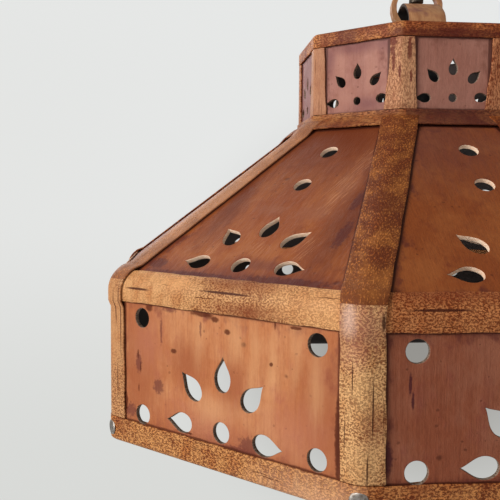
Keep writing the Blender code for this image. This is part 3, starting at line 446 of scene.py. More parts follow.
def fan_punches(x, y, hole, radius, reach, tip, wander):
    """Round hole with five drops over it, each set by hand a little off its place."""
    punches = [round_punch(x, y, hole)]
    for ray in range(5):
        off = noise.noise(Vector((ray * 3.1, reach * 900, 0.5))) * wander
        punches.append(drop_punch(x, y, pi * ray / 4 + off, radius, reach, tip))
    return punches


def tapering(low_aside, low, high_aside, high):
    """The four corners of a sheet, from its lower left one round over the top."""
    return [(-low_aside, low), (-high_aside, high), (high_aside, high), (low_aside, low)]


def punched_sheet(name, corners, punches, ease, outside, cut, lean, out, height):
    """Bark sheet with eased edges: an outline less its punches, stood up on side 1."""
    outline_curve(corners)
    for punch in punches:
        punch.select_set(True)
    bpy.ops.object.join()
    sheet = bpy.context.object
    sheet.name = name
    sheet.data.dimensions = "2D"
    sheet.data.fill_mode = "BOTH"
    sheet.data.resolution_u = 10
    sheet.data.extrude = BARK / 2 - ease
    sheet.data.bevel_depth = ease
    sheet.data.bevel_resolution = 1
    sheet.data.offset = -ease
    bpy.ops.object.convert(target="MESH")
    welded()
    sheet = bpy.context.object
    layer = sheet.data.uv_layers.new(name="flat")
    for loop in sheet.data.loops:
        layer.data[loop.index].uv = sheet.data.vertices[loop.vertex_index].co.xy
    sheet.data.materials.clear()
    for material in (outside, cut, bark_inside_painted_shadow):
        sheet.data.materials.append(material)
    for polygon in sheet.data.polygons:
        facing = polygon.normal.z
        polygon.material_index = 0 if facing > 0.9 else 2 if facing < -0.9 else 1
    sheet.rotation_euler.x = lean
    sheet.location = (0, -out, height)
    alone(sheet)
    bpy.ops.object.transform_apply(location=True, rotation=True)
    return sheet


def number_sheet(piece, number, tone=1.0):
    """Each sheet's number shifts its pattern, and its tone darkens it: the bark's own darker tone, and on
    the first side, turned from the key light, partly painted shade.
    """
    for name, value in (("sheet", number), ("tone", tone)):
        marks = piece.data.attributes.get(name) or piece.data.attributes.new(name, "FLOAT", "POINT")
        for mark in marks.data:
            mark.value = value


def round_the_lamp(first, stem, number, nodes, tones=(0.6, 0.7, 0.5, 0.8, 0.6, 0.7, 0.9, 1.0)):
    """Copies a piece to every side, each with its own mesh, and seats it on its node."""
    pieces = [first] + [added(stem, first.data.copy()) for side in range(1, SIDES)]
    for side, piece in enumerate(pieces):
        piece.name = "%s_%d" % (stem, side + 1)
        alone(piece)
        piece.rotation_euler.z = side * 2 * HALF
        bpy.ops.object.transform_apply(rotation=True)
        number_sheet(piece, number + side, tones[side])
        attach(piece, "shade")
        if nodes:
            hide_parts("%s_%d" % (nodes, side + 1))
    return pieces


skirt_edge = (SKIRT_R - BARK) * CORNER - GAP / 2
punches = fan_punches(0.0012, 0.0194, HOLE_R, radius=0.0049, reach=0.0245, tip=0.0366, wander=0.05)
for x, y in ((-0.0540, 0.0180), (0.0568, 0.0190), (-0.0545, 0.0690), (0.0565, 0.0690)):
    punches.append(round_punch(x, y, HOLE_R))
skirt = punched_sheet("skirt", tapering(skirt_edge, BINDING + GAP, skirt_edge, SKIRT_HEIGHT - EAVE_SETBACK),
                      punches, 0.0004, skirt_tan, weathered_edge, pi / 2, SKIRT_R - BARK / 2, BASE)
# Its first side's low tone is partly painted shade, for the side turned from the key light.
round_the_lamp(skirt, "skirt_sheet", 1, "skirt_panel",
               (0.30, 0.45, 0.6, 0.5, 0.7, 0.6, 0.7, 1.0))


# The cone panels are sheets of darker, glossier bark, cut to a tapering outline, with the
# same fan near the eave and two round holes up the middle.
COLLAR_R, CONE_RISE = 0.07075, 0.0912
EAVE = BASE + SKIRT_HEIGHT
CONE_TOP = EAVE + CONE_RISE
SLOPE = hypot(SKIRT_R - COLLAR_R, CONE_RISE)
CONE_COS = (SKIRT_R - COLLAR_R) / SLOPE
CONE_SIN = CONE_RISE / SLOPE
cone_seams = {"Half_width": SKIRT_R * CORNER * MILLIMETRES - 11.2, "Taper": CONE_COS * CORNER, "Low": 7.1,
              "High": SLOPE * MILLIMETRES - 11.7}

cone_marks = [
    ("cone_clouds", 18, SOFT, 0.9, (0.155, 0.034, 0.012), 0.93, [
        (0, 134, 70, 56), (44, 66, 14, 60), (-36, 70, 10, 40)]),
    ("cone_rubbed", 18, SOFT, 1.6, (0.30, 0.12, 0.07), 0.32, [
        (29, 92, 8, 30), (22, 60, 14, 7), (31, 130, 3, 9), (-8, 62, 12, 4)]),
    ("cone_dusk", 11, SOFT, 0.8, (0.15, 0.052, 0.045), 0.55, [(-30, 128, 60, 44)]),
    ("cone_soot", 18, SOFT, 1.2, (0.12, 0.028, 0.024), 0.60, [(0, 8, 80, 9), (10, 19, 20, 5)]),
    ("cone_shade", 18, TORN, 1.4, (0.085, 0.02, 0.018), 0.70, [
        (-25, 8.8, 42, 2.4), (32, 9.6, 32, 3.4), (46, 44, 4, 12), (41, 70, 3, 10), (-55, 15, 8, 5)]),
    ("cone_scratches", 18, SCRATCHED, 0.8, (0.56, 0.26, 0.13), 0.55, [
        (4, 31, 8, 6), (30, 33, 7, 9), (-26, 30, 4, 11), (26, 76, 9, 20), (28, 104, 6, 14)])]
cone_brown = sheet_material(
    "cone_bark_brown",
    (0.37, 0.11, 0.029), (0.29, 0.072, 0.018), (0.21, 0.046, 0.016), (0.16, 0.035, 0.012),
    (0.085, 0.019, 0.019), (0.05, 0.011, 0.007), cone_seams,
    roughness=0.40, stain_share=0.60, streaked=0.16, marks=cone_marks)
fresh_edge = edge_material("bark_edge_fresh", (0.95, 0.74, 0.56), (0.78, 0.50, 0.34))
cone_high = (SKIRT_R - COLLAR_R - GAP) / CONE_COS - BARK * CONE_SIN / CONE_COS
cone_low_aside, cone_high_aside = (
    (SKIRT_R - up * CONE_COS - BARK * CONE_SIN) * CORNER - GAP / 2 for up in (EAVE_SETBACK, cone_high))
punches = fan_punches(0.0004, 0.0185, HOLE_R, radius=0.0048, reach=0.0262, tip=0.0378, wander=0.04)
punches += [round_punch(-0.0008, 0.0840, 0.0050), round_punch(-0.0002, 0.1145, HOLE_R)]
cone = punched_sheet("cone", tapering(cone_low_aside, EAVE_SETBACK, cone_high_aside, cone_high),
                     punches, 0.0004, cone_brown, fresh_edge, atan2(CONE_SIN, CONE_COS),
                     SKIRT_R - BARK / 2 * CONE_SIN, EAVE - BARK / 2 * CONE_COS)
round_the_lamp(cone, "cone_sheet", 11, "cone_panel", (0.90, 0.6, 0.7, 0.8, 0.6, 0.7, 0.8, 1.0))


# The collar is one long strip of pinkish bark, folded at the lamp's corners, with a small
# fan punched in each of its faces.
collar_seams = {"Half_width": 20.9, "Low": 3.3, "High": 43.5}
collar_marks = [
    ("collar_clouds", 28, SOFT, 1.1, (0.23, 0.085, 0.08), 0.75, [
        (19, 42, 7, 6), (0, 41, 20, 4), (-18, 36, 4, 9), (8, 8, 14, 4)]),
    ("collar_glow", 28, SOFT, 1.2, (0.52, 0.25, 0.18), 0.40, [
        (-12, 32, 5, 8), (10, 26, 4, 12), (-8, 12, 8, 7)]),
    ("collar_warm", 21, SOFT, 0.4, (0.52, 0.23, 0.15), 0.30, [(0, 24, 44, 44)])]
collar_pink = sheet_material(
    "collar_bark_pink",
    (0.44, 0.205, 0.158), (0.37, 0.155, 0.118), (0.29, 0.105, 0.075), (0.22, 0.075, 0.055),
    (0.15, 0.045, 0.035), (0.09, 0.026, 0.018), collar_seams,
    roughness=0.45, stain_share=0.5, streaked=0.30, marks=collar_marks)
COLLAR_HEIGHT, COLLAR_TUCK = 0.0523, 0.0040
collar_half = COLLAR_R * CORNER - BARK * CORNER / 2
punches = fan_punches(0.0004, 0.0100, 0.0023, radius=0.0025, reach=0.0152, tip=0.0218, wander=0.06)
collar = punched_sheet(
    "collar", tapering(collar_half, -COLLAR_TUCK, collar_half, COLLAR_HEIGHT - BINDING - GAP),
    punches, 0.0003, collar_pink, weathered_edge, pi / 2, COLLAR_R - BARK / 2, CONE_TOP)
collar_faces = round_the_lamp(
    collar, "collar_face", 21, None, (0.94, 0.6, 0.7, 0.8, 0.6, 0.7, 0.5, 1.0))
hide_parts("collar_band")


# The corner ribs are bark strips, 1 mm thick and two fingers wide, folded along the lamp's
# corners. Each runs from the bottom binding over the eave strip and up to the collar, its
# lower part golden and its upper part dark, and its hand-cut edges wander a little.
STRIP, BINDING_HEIGHT = 0.0010, 0.0132
EAVE_DOWN, EAVE_UP, EAVE_BEND = 0.0111, 0.0070, 0.0120
TOP_DOWN, TOP_UP = 0.0118, 0.0032
RIB_HALF, RIB_WIDER, RIB_LEAN, RIB_EASE, RIB_RAMP = 0.0105, 0.0565, 0.0013, 0.0042, 0.0030


def strip_material(name, gold, orange, dark, pore, cell, level, darkness, cracks, marks, plain=None):
    """Bark strip: golden with dark patches, closely set with fine brown specks, cracked along."""
    material, tree, shader = new_material(name)
    flat = placed(tree, bark_flat)
    where = {"Flat": flat["Flat"], "Shift": flat["Shift"]}
    grain = placed(tree, bark_grain, **where)
    long, short = cell
    across, along = cracks
    fine = placed(tree, bark_specks, Long=long, Short=short, Level=level, **where)["Specks"]
    dots = placed(tree, bark_pores, Long=long * 2.0, Short=short * 1.8, Share=0.22, Size=0.30, **where)
    split = placed(tree, bark_pores, Long=across, Short=along, Share=0.09, Size=0.13, **where)["Pores"]
    pores = maths(tree, "MAXIMUM", times(tree, fine, 0.92), dots["Pores"])
    pores = times(tree, pores, spread(tree, grain["Clouds"], 0.30, 0.56, 0.66, 1.0))
    if plain:
        bare = mask_of(tree, flat, *plain)
        pores = times(tree, pores, maths(tree, "MULTIPLY_ADD", bare, -0.60, 1.0))
    colour = blended(tree, spread(tree, grain["Clouds"], 0.40, 0.66), gold, orange)
    for share, tint in ((times(tree, spread(tree, grain["Patches"], *darkness), 0.85), dark),
                        (spread(tree, grain["Fibres"], 0.50, 0.74, 0.0, 0.40), gold),
                        (spread(tree, grain["Streaks"], 0.46, 0.72, 0.0, 0.35), dark),
                        (times(tree, pores, 0.95), pore)):
        colour = blended(tree, share, colour, tint)
    colour = marked(tree, flat, colour, marks)
    colour = blended(tree, times(tree, split, 0.9), colour, pore)
    feed(tree, shader.inputs, Base_Color=toned(tree, flat["Tone"], colour, (0.72, 0.30, 0.10)),
         Specular_IOR_Level=0.15, Roughness=maths(tree, "MULTIPLY_ADD", grain["Clouds"], 0.25, 0.34))
    relief = maths(tree, "MULTIPLY_ADD", grain["Fibres"], 0.4, times(tree, grain["Clouds"], 1.4))
    relief = maths(tree, "SUBTRACT", relief, times(tree, pores, 0.45))
    bumped(tree, shader, maths(tree, "SUBTRACT", relief, times(tree, split, 0.8)), 0.0004)
    return material


rib_marks = [
    ("rib_dense", 38, SOFT, 1.4, (0.28, 0.074, 0.032), 0.46, [
        (0, 62, 14, 9), (6, 25, 6, 8), (-8, 66, 4, 16)]),
    ("rib_pale", 38, SOFT, 1.2, (0.84, 0.50, 0.22), 0.30, [(1, 36, 9, 10), (0, 8, 9, 9)]),
    ("rib_pink", 38, SOFT, 1.2, (0.62, 0.28, 0.20), 0.26, [(0, 67, 12, 10), (-3, 55, 6, 8)]),
    # rib_sheen is a painted highlight: a pale pink glint just below the eave bend.
    ("rib_sheen", 38, SOFT, 1.2, (0.86, 0.58, 0.46), 0.55, [(-5.5, 69, 3.4, 7.5)]),
    ("rib_aged", 37, SOFT, 0.4, (0.42, 0.185, 0.085), 0.42, [(0, 44, 40, 60)]),
    ("rib_split", 37, TORN, 0.25, (0.10, 0.028, 0.012), 0.9, [
        (8.6, 54, 0.45, 24), (6, 20, 0.35, 12), (4.5, 62, 0.4, 9)]),
    ("rib_cracks", 38, TORN, 0.25, (0.07, 0.02, 0.008), 0.9, [
        (5.3, 31.7, 0.40, 14.5), (-3.6, 44, 0.32, 9), (3.3, 6, 0.45, 7.5), (-7, 20, 0.25, 9),
        (9.3, 68, 0.9, 4)])]
rib_gold = strip_material(
    "rib_bark_gold",
    (0.80, 0.44, 0.19), (0.68, 0.315, 0.118), (0.36, 0.115, 0.042), (0.185, 0.05, 0.014),
    cell=(1.02, 0.88), level=0.52, darkness=(0.56, 0.75), cracks=(1.1, 36.0), marks=rib_marks,
    plain=("rib_plain", 37, TORN, 1, [(0, 52, 14, 30)]))
rib_top_marks = [
    ("rib_worn", 37, SOFT, 0.3, (0.74, 0.38, 0.20), 0.54, [(0, 150, 30, 82)]),
    ("rib_warm", 38, SOFT, 1.2, (0.66, 0.24, 0.06), 0.16, [(0, 86, 22, 12)])]
rib_dark = strip_material(
    "rib_bark_dark",
    (0.62, 0.218, 0.048), (0.42, 0.112, 0.025), (0.17, 0.04, 0.014), (0.115, 0.024, 0.009),
    cell=(0.75, 1.70), level=0.44, darkness=(0.45, 0.74), cracks=(1.1, 36.0), marks=rib_top_marks)


def cone_point(up, proud):
    """Point up the cone's slope, square out from its face."""
    return SKIRT_R - up * CONE_COS + proud * CONE_SIN, EAVE + up * CONE_SIN + proud * CONE_COS


def eave_point(share, proud):
    """Point on the round bend over the eave, from the skirt up to the cone."""
    turn = atan2(CONE_COS, CONE_SIN)
    reach = EAVE_BEND + proud
    height = EAVE - EAVE_BEND * tan(turn / 2)
    return SKIRT_R - EAVE_BEND + reach * cos(turn * share), height + reach * sin(turn * share)


def rib_edge(out, share):
    """How far aside a rib's edge lies, measured along the face; a little more up the cone."""
    return out * CORNER - RIB_HALF * (1 + RIB_WIDER * share)


def wobble(x, y, size):
    """Smooth waver of a hand-cut edge."""
    return noise.noise(Vector((x * 70.0, y * 70.0, 3.7))) * size


def strip_sheet(name, rows, thickness, ease, closed=False):
    """Sheet through rows of points, with flat coordinates by length, thickened and eased."""
    count = len(rows[0])
    mesh = bpy.data.meshes.new(name)
    points = [point for row in rows for point in row]
    faces = []
    last = len(rows) if closed else len(rows) - 1
    for r in range(last):
        s = (r + 1) % len(rows)
        for c in range(count - 1):
            faces.append((r * count + c, r * count + c + 1, s * count + c + 1, s * count + c))
    mesh.from_pydata(points, [], faces)
    middle = count // 2
    along = [0.0]
    for first, second in zip(rows, rows[1:] + rows[:1]):
        along.append(along[-1] + (Vector(second[middle]) - Vector(first[middle])).length)
    across = []
    for row in rows:
        lengths = [0.0]
        for first, second in zip(row, row[1:]):
            lengths.append(lengths[-1] + (Vector(second) - Vector(first)).length)
        across.append([length - lengths[middle] for length in lengths])
    layer = mesh.uv_layers.new(name="flat")
    for polygon in mesh.polygons:
        top = max(mesh.loops[i].vertex_index // count for i in polygon.loop_indices)
        for i in polygon.loop_indices:
            vertex = mesh.loops[i].vertex_index
            r, c = vertex // count, vertex % count
            wrapped = closed and r == 0 and top == len(rows) - 1
            layer.data[i].uv = (across[r][c], along[len(rows)] if wrapped else along[r])
    piece = added(name, mesh)
    alone(piece)
    welded(0.0)
    wall = piece.modifiers.new("wall", "SOLIDIFY")
    wall.thickness = thickness
    wall.offset = -1.0
    bpy.ops.object.modifier_apply(modifier="wall")
    rounding = piece.modifiers.new("rounding", "BEVEL")
    rounding.width = ease
    rounding.segments = 2
    rounding.limit_method = "ANGLE"
    rounding.angle_limit = radians(50)
    bpy.ops.object.modifier_apply(modifier="rounding")
    bpy.ops.object.shade_smooth_by_angle(angle=radians(40))
    return piece


def corner_row(out, height, edge_right, edge_left, ease):
    """Row of points across a corner, from one side's edge to the next side's edge."""
    turn = out * CORNER
    row = []
    for share in (0.0, 0.25, 0.5, 0.75, 1.0):
        row.append(on_side(0, edge_right + (turn - ease - edge_right) * share, out, height))
    first, tip, last = row[-1], on_side(0, turn, out, height), on_side(1, ease - turn, out, height)
    for share in (0.25, 0.5, 0.75):
        row.append(first.lerp(tip, share).lerp(tip.lerp(last, share), share))
    for share in (0.0, 0.25, 0.5, 0.75, 1.0):
        row.append(on_side(1, ease - turn + (turn - ease - edge_left) * share, out, height))
    return row


def rib_rows():
    """Rows up a rib, which climbs over the eave strip and the cone-top strip."""
    over = GAP * 2 + STRIP
    stations = []
    foot = BASE + BINDING_HEIGHT + GAP
    band = EAVE - EAVE_DOWN - GAP
    for step in range(19):
        height = foot + (band - foot) * step / 18
        near = max(0.0, 1 - (band - height) / RIB_RAMP)
        stations.append((SKIRT_R + GAP + STRIP + (over - GAP) * near, height, 0.0))
    stations.append((SKIRT_R + over + STRIP, band + 0.0025, 0.0))
    for step in range(9):
        share = step / 8
        stations.append((*eave_point(share, over + STRIP), share))
    band = EAVE_UP + GAP
    top = SLOPE - TOP_DOWN - GAP
    head = (SKIRT_R - COLLAR_R - STRIP * 2 - GAP * 3) / CONE_COS
    for step in range(31):
        up = band + (head - band) * step / 30
        near = max(0.0, 1 - (up - band) / RIB_RAMP, min(1.0, 1 - (top - up) / RIB_RAMP))
        stations.append((*cone_point(up, GAP + STRIP + (over - GAP) * near), 1.0))
    rows = []
    for out, height, share in stations:
        aslant = RIB_LEAN * max(0.0, (EAVE - height) / (EAVE - BASE))
        right = rib_edge(out, share) + aslant + wobble(height, 1.0, 0.0006)
        left = rib_edge(out, share) - aslant + wobble(height, 5.0, 0.0006)
        rows.append(corner_row(out, height, right, left, RIB_EASE))
    return rows


rib = strip_sheet("rib", rib_rows(), STRIP, 0.00035)
for material in (rib_gold, rib_dark):
    rib.data.materials.append(material)
for polygon in rib.data.polygons:
    polygon.material_index = 1 if polygon.center.z > EAVE + 0.0012 else 0
round_the_lamp(rib, "rib_strip", 31, "corner_rib")


# The eave strip covers the edge where skirt and cone meet. It is one golden strip folded
# over the eave all round the shade, under the ribs.
def last_side(radius):
    """Where the last side begins on a ring's flat map, in millimetres."""
    return (SIDES - 1) * 2 * radius * CORNER * MILLIMETRES


start = last_side(SKIRT_R)
eave_marks = [
    ("eave_dark", 41, SOFT, 1, (0.27, 0.066, 0.024), 0.6, [
        (start + 86, 5, 24, 6), (start + 92, -8.3, 24, 4), (36, 5.5, 34, 4.5)]),
    ("eave_pale", 41, SOFT, 1, (0.92, 0.46, 0.19), 0.50, [
        (start + 138, -2, 30, 13), (3, -3, 6, 6), (start + 46, 1.7, 10, 4)]),
    ("eave_cracks", 41, TORN, 0.14, (0.085, 0.02, 0.008), 0.95, [
        (start + 18, -3.8, 10, 0.75), (start + 78, -1, 18.5, 0.75),
        (31.5, -1.9, 16, 0.75)])]
strip_gold = strip_material(
    "strip_bark_gold",
    (0.74, 0.385, 0.16), (0.62, 0.27, 0.098), (0.32, 0.088, 0.028), (0.185, 0.045, 0.01),
    cell=(1.12, 0.85), level=0.512, darkness=(0.60, 0.78), cracks=(36.0, 1.1), marks=eave_marks,
    plain=("eave_plain", 41, SOFT, 1, [(start + 20, -1, 38, 30)]))


def ring_rows(profile, ease, side_steps, ends):
    """Rows round the shade through a side view given as (out, height), corners eased."""
    rows = []
    for side in range(SIDES):
        for step in range(side_steps + 1):
            row = []
            for index, (out, height) in enumerate(profile):
                turn = out * CORNER - ease
                aside = -turn + 2 * turn * step / side_steps
                point = on_side(side, aside, out, height)
                if index == 0 or index == len(profile) - 1:
                    move = wobble(aside * 1.5 + side, index + 2.0, ends)
                    inner = Vector(on_side(side, aside, *profile[1 if index == 0 else -2]))
                    point = point + (point - inner).normalized() * move
                row.append(point)
            rows.append(row)
        corner = []
        for out, height in profile:
            turn = out * CORNER
            first = on_side(side, turn - ease, out, height)
            tip = on_side(side, turn, out, height)
            last = on_side(side + 1, ease - turn, out, height)
            corner.append([first.lerp(tip, s).lerp(tip.lerp(last, s), s) for s in (0.25, 0.5, 0.75)])
        for k in range(3):
            rows.append([points[k] for points in corner])
    return rows


def dark_inside(piece):
    """The strip's leg inside the shade gets the panels' near-black inner face, a painted shadow."""
    piece.data.materials.append(bark_inside_painted_shadow)
    for polygon in piece.data.polygons:
        out = Vector((polygon.center.x, polygon.center.y, 0)).normalized()
        if polygon.normal.dot(out) < -0.5:
            polygon.material_index = 1


def ring_band(name, rows, wall, material, number, front_tone, node, folded=False):
    """Strip round the shade. Its flat map runs along it, and each side has its own tone."""
    band = strip_sheet(name, rows, wall, 0.0003, closed=True)
    for item in band.data.uv_layers["flat"].data:
        item.uv = (item.uv.y, item.uv.x)
    band.data.materials.append(material)
    if folded:
        dark_inside(band)
    number_sheet(band, number)
    # The first side's tone, turned from the key light, is partly painted shade.
    tones = (front_tone, 0.6, 0.6, 0.8, 0.7, 0.7, 0.9, 1.0)
    for vertex, mark in zip(band.data.vertices, band.data.attributes["tone"].data):
        side = round((atan2(vertex.co.y, vertex.co.x) + pi / 2) / (2 * HALF)) % SIDES
        mark.value = tones[side]
    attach(band, "shade")
    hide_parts(node)


proud = GAP + STRIP
profile = [(SKIRT_R + proud, EAVE - EAVE_DOWN), (SKIRT_R + proud, EAVE - 0.0085)]
profile += [eave_point(step / 8, proud) for step in range(9)]
profile += [cone_point(EAVE_UP, proud)]
ring_band("eave_band", ring_rows(profile, ease=0.0020, side_steps=20, ends=0.0007), STRIP, strip_gold,
          number=41, front_tone=0.46, node="eave_strip")


# The cone-top strip is a strip of browner bark, 1 mm thick, folded into the angle between
# cone and collar all round. The ribs end on it.
top_low = SLOPE - TOP_DOWN
top_bend = (SKIRT_R - COLLAR_R - proud + proud * CONE_SIN) / CONE_COS
profile = [cone_point(up, proud) for up in (top_low, top_low + 0.004, top_low + 0.008, top_bend)]
profile += [(COLLAR_R + proud, CONE_TOP + 0.0018), (COLLAR_R + proud, CONE_TOP + TOP_UP)]
cone_top_marks = [
    ("top_dark", 43, SOFT, 0.6, (0.115, 0.028, 0.022), 0.80, [(24, 0, 34, 40)])]
strip_brown = strip_material(
    "strip_bark_brown",
    (0.50, 0.205, 0.07), (0.36, 0.105, 0.034), (0.15, 0.032, 0.016), (0.12, 0.027, 0.01),
    cell=(2.0, 0.7), level=0.54, darkness=(0.44, 0.62), cracks=(30.0, 0.9), marks=cone_top_marks)
ring_band("cone_top_band", ring_rows(profile, ease=0.0030, side_steps=10, ends=0.0005), STRIP, strip_brown,
          number=43, front_tone=0.85, node="cone_top_strip")


# The collar's corners are covered by narrow folded strips of bark, glued on from the
# cone-top strip up to the rim binding, a little wider at the foot.
corner_marks = [
    ("collar_aged", 57, SOFT, 0.4, (0.40, 0.185, 0.11), 0.55, [(0, 20, 30, 50)]),
    ("collar_bright", 58, SOFT, 0.4, (0.86, 0.46, 0.25), 0.20, [(0, 20, 24, 50)]),
    ("collar_red", 58, TORN, 1.5, (0.17, 0.03, 0.018), 0.85, [
        (-5, 28, 1.2, 9), (4.5, 33, 1.6, 8), (-1, 21, 1, 5), (5.5, 18, 0.9, 4), (-5.5, 38, 3.2, 4),
        (-6, 33, 1.4, 3)])]
collar_strip = strip_material(
    "collar_strip_bark",
    (0.68, 0.345, 0.175), (0.55, 0.235, 0.11), (0.34, 0.105, 0.052), (0.22, 0.056, 0.02),
    cell=(0.75, 2.0), level=0.52, darkness=(0.54, 0.70), cracks=(1.0, 26.0), marks=corner_marks,
    plain=("collar_plain", 57, TORN, 0.2, [(0, 20, 20, 60)]))
RIM, RIM_HEIGHT = CONE_TOP + COLLAR_HEIGHT, 0.0086
foot, head = CONE_TOP + TOP_UP + GAP, RIM - RIM_HEIGHT - GAP
rows = []
for step in range(11):
    share = step / 10
    height = foot + (head - foot) * share
    width = 0.0095 - 0.0023 * share
    out = COLLAR_R + proud
    right = out * CORNER - width - 0.0016 * (1 - share) ** 4 + wobble(height * 3.0, 8.0, 0.0008)
    left = out * CORNER - width + wobble(height * 3.0, 11.0, 0.0008)
    rows.append(corner_row(out, height, right, left, 0.0018))
corner_strip = strip_sheet("corner_strip", rows, STRIP, 0.0003)
corner_strip.data.materials.append(collar_strip)
round_the_lamp(corner_strip, "collar_strip", 51, "collar_corner_strip")


# The bottom binding is a strip folded over the skirt's lower edge all round, riveted at
# every corner; its corners are well rounded.
start = last_side(SKIRT_R - BARK / 2)
binding_marks = [
    ("binding_pale", 61, SOFT, 1, (0.78, 0.43, 0.25), 0.72, [(start + 132, 6, 40, 20)]),
    ("binding_red", 61, TORN, 1.5, (0.22, 0.04, 0.022), 0.75, [
        (start + 8, 8, 10, 7), (start + 24, 12, 6, 5),
        (start - 6, 8, 6, 12), (start + 70, 16, 14, 3)])]
binding_gold = strip_material(
    "binding_bark_gold",
    (0.68, 0.31, 0.105), (0.53, 0.19, 0.053), (0.28, 0.065, 0.022), (0.15, 0.032, 0.008),
    cell=(1.35, 0.90), level=0.51, darkness=(0.54, 0.70), cracks=(36.0, 1.1), marks=binding_marks)


def folded_profile(radius, edge, up, outer_height, inner_height):
    """Side view of a strip folded over an edge: outer leg, round fold, inner leg."""
    outer = radius + GAP + BINDING
    inner = radius - BARK - GAP - BINDING
    middle = (outer + inner) / 2
    fold = (outer - inner) / 2
    profile = [(outer, edge + up * outer_height * share) for share in (1.0, 0.75, 0.5, 0.30)]
    for step in range(7):
        angle = pi * step / 6
        profile.append((middle + fold * cos(angle), edge + up * (fold * 0.8 - fold * 0.8 * sin(angle))))
    profile += [(inner, edge + up * inner_height * share) for share in (0.35, 0.7, 1.0)]
    return profile


profile = folded_profile(SKIRT_R, BASE, 1, BINDING_HEIGHT, 0.0128)
ring_band("bottom_band", ring_rows(profile, ease=0.0040, side_steps=20, ends=0.0007), BINDING, binding_gold,
          number=61, front_tone=0.75, node="bottom_binding", folded=True)


# The rim binding is folded over the collar's upper edge; it is darker, in patches of
# orange gold and red brown.
start = last_side(COLLAR_R - BARK / 2)
rim_marks = [
    ("rim_shade", 71, TORN, 0.8, (0.14, 0.028, 0.02), 0.74, [
        (start + 19, 0, 8, 60), (start + 14, 9, 6, 2.2), (start + 14, -9, 6, 2.2),
        (start + 54, 8.5, 9, 3.2), (start + 54, -8.5, 9, 3.2), (26, 8.6, 36, 3.4),
        (26, -8.6, 36, 3.4)])]
rim_brown = strip_material(
    "rim_bark_brown",
    (0.70, 0.292, 0.098), (0.53, 0.176, 0.062), (0.27, 0.064, 0.03), (0.17, 0.038, 0.012),
    cell=(1.6, 0.75), level=0.51, darkness=(0.50, 0.66), cracks=(30.0, 0.9), marks=rim_marks)
profile = folded_profile(COLLAR_R, RIM, -1, RIM_HEIGHT, RIM_HEIGHT)
ring_band("rim_band", ring_rows(profile, ease=0.0022, side_steps=10, ends=0.0004), BINDING, rim_brown,
          number=71, front_tone=0.55, node="rim_binding", folded=True)


# The corner rivets are split tacks with domed nickel heads, one through the bottom
# binding at each corner.
def metal(name, colour, worn, rough, grain):
    """Plated or solid metal, its shine uneven from handling."""
    return worn_material(name, colour, worn, rough, grain, 4.0, (0.40, 0.70), 0.00006,
                         uneven=0.25, Metallic=1.0)


nickel = metal("nickel_plate", (0.46, 0.42, 0.38), (0.20, 0.16, 0.13), 0.36, 420.0)
brass = metal("brass", (0.62, 0.44, 0.18), (0.38, 0.24, 0.09), 0.16, 600.0)
aged_brass = metal("aged_brass", (0.095, 0.078, 0.062), (0.05, 0.04, 0.034), 0.43, 600.0)


def turned_piece(name, profile, steps, material, body, node):
    """Turns a side view of (radius, height) about the cord, and closes it where it ends on it."""
    mesh = bpy.data.meshes.new(name)
    mesh.from_pydata([(r, 0, z) for r, z in profile], [(i, i + 1) for i in range(len(profile) - 1)], [])
    piece = added(name, mesh)
    alone(piece)
    bpy.ops.object.mode_set(mode="EDIT")
    bpy.ops.mesh.select_all(action="SELECT")
    bpy.ops.mesh.spin(steps=steps, angle=2 * pi, center=(0, 0, 0), axis=(0, 0, 1))
    welded()
    piece.data.materials.append(material)
    bpy.ops.object.shade_smooth_by_angle(angle=radians(35))
    if body:
        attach(piece, body)
        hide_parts(node)
    return piece


RIVET_HEIGHT = 0.0066
head = [(0.0, 0.0007), (0.0018, 0.0007), (0.0031, 0.0006), (0.0039, 0.0004), (0.0042, 0.0001),
        (0.0043, 0.0), (0.0040, -0.0002), (0.0015, -0.0002), (0.0014, -0.0080), (0.0023, -0.0081),
        (0.0023, -0.0086), (0.0, -0.0087)]
rivet = turned_piece("rivet", head, 32, nickel, None, None)
reach = (SKIRT_R + GAP) / cos(HALF) + 0.0001
rivet.rotation_euler = (pi / 2, 0, HALF)
rivet.location = (reach * sin(HALF), -reach * cos(HALF), BASE + RIVET_HEIGHT)
bpy.ops.object.transform_apply(location=True, rotation=True)
round_the_lamp(rivet, "domed_rivet", 81, "corner_rivet")


# The bow is a flat strap of bark, bent over the collar with its ends down inside the rim,
# set slightly askew, and pierced for the cord. The loop round it keeps its solid's shape.
wood_bent, tree, shader = new_material("bow_bark")
grain = noise_at(tree, 1.0, 5.0, (420.0, 40.0, 160.0))
patch = noise_at(tree, 90.0, 3.0)
tint = blended(tree, spread(tree, grain, 0.38, 0.66), (0.52, 0.26, 0.12), (0.40, 0.175, 0.08))
tint = blended(tree, spread(tree, patch, 0.50, 0.72), tint, (0.30, 0.125, 0.085))
feed(tree, shader.inputs, Base_Color=tint, Roughness=0.5, Specular_IOR_Level=0.2)
bumped(tree, shader, grain, 0.0003)
bow_edge = edge_material("bow_edge_dark", (0.105, 0.07, 0.058), (0.05, 0.033, 0.028))
BOW_TOP, BOW_WALL, BOW_BEND = RIM + 0.0238, 0.06645, 0.0140
rise = BOW_TOP - RIM - 0.0077
span = BOW_WALL - BOW_BEND / 2
crown = (span ** 2 + rise ** 2) / (2 * rise)
lean = atan2(span, crown - rise)
half = []
for step in range(8):
    angle = lean * step / 8
    half.append(((BOW_WALL - BOW_BEND + BOW_BEND * sin(lean)) * sin(angle) / sin(lean),
                 BOW_TOP - crown * (1 - cos(angle))))
shoulder = BOW_TOP - crown * (1 - cos(lean)) - BOW_BEND * cos(lean)
for step in range(8):
    angle = lean + (pi / 2 - lean) * step / 7
    half.append((BOW_WALL - BOW_BEND + BOW_BEND * sin(angle), shoulder + BOW_BEND * cos(angle)))
half.append((BOW_WALL, RIM - 0.0240))
rows = []
